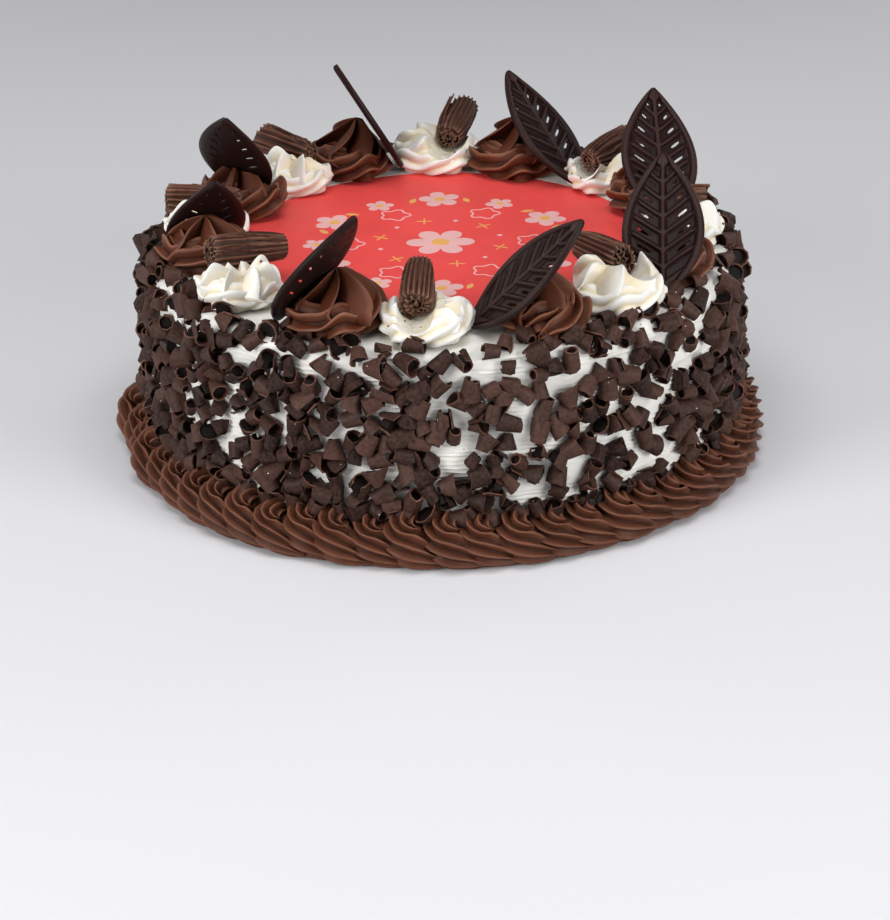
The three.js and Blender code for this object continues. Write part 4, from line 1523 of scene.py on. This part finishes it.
def outline_dot(size):
    """The outline of a round dot."""
    angle = np.linspace(0, 2 * math.pi, 24, endpoint=False)
    return size * np.stack([np.cos(angle), np.sin(angle)], axis=1)


def outline_petal(length, width, turn):
    """The outline of a small pointed leaf that starts at the origin."""
    share = np.linspace(0, 1, 13)
    side = 0.5 * width * np.sin(math.pi * share)
    line = np.concatenate([
        np.stack([share * length, side], axis=1),
        np.stack([share * length, -side], axis=1)[-2:0:-1],
    ])
    turned = np.array([[math.cos(turn), math.sin(turn)], [-math.sin(turn), math.cos(turn)]])
    return line[::-1] @ turned


def printed_shape(outline, centre, low, high):
    """A flat printed shape a few hundredths of a millimetre thick."""
    outline = np.asarray(outline) + centre
    area = np.sum(outline[:, 0] * np.roll(outline[:, 1], -1)
                  - outline[:, 1] * np.roll(outline[:, 0], -1))
    if area < 0:
        outline = outline[::-1]
    count = len(outline)
    middle = outline.mean(axis=0)
    points = [(x, y, level) for level in (low, high) for x, y in [*outline, middle]]
    faces = pole_fan(0, count, count, True).tolist()
    faces += pole_fan(count + 1, count, 2 * count + 1, False).tolist()
    for i in range(count):
        j = (i + 1) % count
        faces.append([i, j, j + count + 1, i + count + 1])
    return np.array(points), faces


def printed_band(line, width, low, high):
    """A thin printed line that follows closed points."""
    line = np.asarray(line)
    along = np.roll(line, -1, axis=0) - np.roll(line, 1, axis=0)
    along /= np.linalg.norm(along, axis=1)[:, None]
    out = np.stack([along[:, 1], -along[:, 0]], axis=1) * width / 2
    rings = np.array([
        np.column_stack([line + side * out, np.full(len(line), level)])
        for side, level in ((1, low), (1, high), (-1, high), (-1, low), (1, low))
    ])
    faces = ring_quads(5, len(line)).tolist()
    count = 4 * len(line)
    return rings[:4].reshape(-1, 3), [[corner % count for corner in face] for face in faces]


GARLAND_RADIUS = 54 * MM
GARLAND_COUNT = 12
SCALLOP_RADIUS = 40 * MM
SCALLOP_COUNT = 6
SPOT_RADIUS = 27 * MM


def on_ring(radius, degrees):
    """A place on the disc, that far from its middle."""
    return np.array([radius * math.cos(math.radians(degrees)),
                     radius * math.sin(math.radians(degrees))])


def print_shapes(lift):
    """The print: a garland of blossoms round a big one, with dots, leaves and sparkles."""
    low, high = DISC_TOP - 0.02 * MM, DISC_TOP + lift
    pink, gold = [], []
    pink.append(printed_shape(outline_blossom(15 * MM, 6), (0, 0), low, high))
    gold.append(printed_shape(outline_dot(4 * MM), (0, 0), low, high + lift))
    for i in range(GARLAND_COUNT):
        angle = 360 / GARLAND_COUNT * i
        centre = on_ring(GARLAND_RADIUS, angle)
        size = (9.5 if i % 2 else 6.5) * MM
        pink.append(printed_shape(outline_blossom(size, 5, i), centre, low, high))
        gold.append(printed_shape(outline_dot(0.26 * size), centre, low, high + lift))
        leaf = outline_petal(6.5 * MM, 2.8 * MM, math.radians(angle + 15 + 35 * (-1) ** i))
        gold.append(printed_shape(leaf, on_ring(GARLAND_RADIUS - 3 * MM, angle + 15), low, high))
        spot = on_ring(SPOT_RADIUS, angle + 15)
        shape = outline_sparkle(3.8 * MM, math.radians(angle)) if i % 2 else outline_dot(1.1 * MM)
        (gold if i % 2 else pink).append(printed_shape(shape, spot, low, high))
    around = np.linspace(0, 2 * math.pi, 72, endpoint=False)
    reach = 6 * MM * (1 + 0.16 * np.cos(5 * around))
    scallop = np.stack([reach * np.cos(around), reach * np.sin(around)], axis=1)
    for i in range(SCALLOP_COUNT):
        centre = on_ring(SCALLOP_RADIUS, 360 / SCALLOP_COUNT * i)
        pink.append(printed_band(scallop + centre, 0.8 * MM, low, high))
    return joined(pink), joined(gold)


def plain_finish(name, colour, roughness, mottle=0.06):
    """A slightly clouded finish for icing, print and crumbs."""
    material, tree, shader = new_finish(name, roughness, Specular_IOR_Level=0.35)
    level = map_range(tree, noise(tree, 45.0, 5.0), *NOISE_SPAN, 1 - mottle, 1 + mottle)
    tree.links.new(scale_vector(tree, tuple(colour), level), shader.inputs["Base Color"])
    bump(tree, shader, noise(tree, 1600.0, 3.0), 0.03 * MM)
    return material


class CAKE_OT_icing(bpy.types.Operator):
    """Finishes the red icing disc and prints its pattern"""

    bl_idname = "cake.icing"
    bl_label = "Icing disc"

    def execute(self, context):
        colours = context.scene.cake_colours
        disc = frame["nodes"]["icing_disc"]
        disc.data.materials.clear()
        disc.data.materials.append(plain_finish("Red icing", colours.icing, 0.5))
        pink, gold = print_shapes(context.scene.cake_sizes.print_lift)
        for name, (points, faces), colour in (
            ("print_pink", pink, colours.print_pink), ("print_gold", gold, colours.print_gold),
        ):
            finish = plain_finish(name.replace("_", " ").title(), colour, 0.5)
            piece = new_piece(name, points, faces, finish, sharp=30)
            settle(piece, [])
        return {"FINISHED"}


# ---- the stage --------------------------------------------------------------------------

PHOTO_SIZE = (890, 920)
PHOTO_FOCAL = 3000  # focal length in pixels of the photograph
SENSOR = 36.0
FLOOR_HALF = 6.0
LIGHT_TARGET = (0, 0, 0.06)
# Where each light stands, its width and height, and its share of the softbox power.
LIGHTS = {
    "Softbox left": ((-0.98, -0.82, 0.5), (0.6, 0.7), 1.4),
    "Softbox right": ((0.95, -0.84, 0.48), (0.6, 0.7), 1.25),
    "Rear left": ((-1.0, 0.75, 0.5), (0.6, 0.7), 0.3),
    "Rear right": ((1.0, 0.75, 0.5), (0.6, 0.7), 0.3),
    "Overhead": ((0, -0.3, 1.15), (0.9, 0.7), 0.88),
}
ROOM_TINT = (0.93, 0.95, 1.0)


def look_along(way):
    """A rotation whose -Z runs along the way and whose Y is as near to up as it can be."""
    back = -np.asarray(way, float)
    right = np.cross((0, 0, 1.0), back)
    right /= np.linalg.norm(right)
    return Matrix(np.stack([right, np.cross(back, right), back], axis=1).tolist())


def area_light(name, place, size, power):
    """A flat soft light that faces the cake."""
    data = bpy.data.lights.new(name, "AREA")
    data.shape = "RECTANGLE"
    data.size, data.size_y = size
    data.energy = power
    light = bpy.data.objects.new(name, data)
    light.location = place
    way = np.array(LIGHT_TARGET) - np.array(place)
    light.rotation_mode = "QUATERNION"
    light.rotation_quaternion = look_along(way / np.linalg.norm(way)).to_quaternion()
    bpy.context.scene.collection.objects.link(light)


class CAKE_OT_stage(bpy.types.Operator):
    """Sets the pale floor, the soft light and the camera"""

    bl_idname = "cake.stage"
    bl_label = "Stage"

    def execute(self, context):
        scene = context.scene
        stage = scene.cake_stage
        corners = [(x * FLOOR_HALF, y * FLOOR_HALF, 0)
                   for x, y in ((-1, -1), (1, -1), (1, 1), (-1, 1))]
        floor_finish, _, shader = new_finish("Floor", 0.7)
        shader.inputs["Base Color"].default_value = rgba(stage.floor)
        floor = new_piece("floor", corners, [[0, 1, 2, 3]], floor_finish)

        for name, (place, size, share) in LIGHTS.items():
            area_light(name, place, size, share * stage.softbox)
        world = bpy.data.worlds.new("Room")
        world.use_nodes = True
        sky = world.node_tree.nodes["Background"]
        sky.inputs["Color"].default_value = rgba(ROOM_TINT)
        sky.inputs["Strength"].default_value = stage.fill
        scene.world = world
        scene.view_settings.view_transform = "Standard"

        data = bpy.data.cameras.new("Camera")
        data.sensor_fit = "AUTO"
        data.sensor_width = SENSOR
        data.lens = PHOTO_FOCAL / max(PHOTO_SIZE) * SENSOR
        camera = bpy.data.objects.new("Camera", data)
        camera.location = (0, -stage.camera_way, stage.camera_height)
        tilt = Matrix.Rotation(math.pi / 2 - stage.camera_pitch, 3, "X")
        roll = Matrix.Rotation(stage.camera_roll, 3, "Z")
        camera.rotation_mode = "QUATERNION"
        camera.rotation_quaternion = (tilt @ roll).to_quaternion()
        scene.collection.objects.link(camera)
        scene.camera = camera
        return {"FINISHED"}


# ---- the panel and the run --------------------------------------------------------------

BUILD_ORDER = (
    CAKE_OT_coat, CAKE_OT_curls, CAKE_OT_border, CAKE_OT_chocolate_rosettes,
    CAKE_OT_cream_rosettes, CAKE_OT_crumbs, CAKE_OT_leaves, CAKE_OT_sticks, CAKE_OT_icing,
    CAKE_OT_stage,
)


class CAKE_PT_panel(bpy.types.Panel):
    """Lists the cake's properties and its build steps"""

    bl_label = "Celebration cake"
    bl_idname = "CAKE_PT_panel"
    bl_space_type = "VIEW_3D"
    bl_region_type = "UI"
    bl_category = "Cake"

    def draw(self, context):
        for group in (context.scene.cake_sizes, context.scene.cake_colours,
                      context.scene.cake_stage):
            column = self.layout.column(align=True)
            for name in group.__annotations__:
                column.prop(group, name)
        for step in BUILD_ORDER:
            self.layout.operator(step.bl_idname)


GROUPS = {"cake_sizes": CakeSizes, "cake_colours": CakeColours, "cake_stage": CakeStage}


def register():
    for kind in (*GROUPS.values(), *BUILD_ORDER, CAKE_PT_panel):
        bpy.utils.register_class(kind)
    for name, kind in GROUPS.items():
        setattr(bpy.types.Scene, name, bpy.props.PointerProperty(type=kind))


def unregister():
    for name in GROUPS:
        delattr(bpy.types.Scene, name)
    for kind in reversed((*GROUPS.values(), *BUILD_ORDER, CAKE_PT_panel)):
        bpy.utils.unregister_class(kind)


def main():
    register()
    for step in BUILD_ORDER:
        group, name = step.bl_idname.split(".")
        getattr(getattr(bpy.ops, group), name)()


if __name__ == "__main__":
    main()
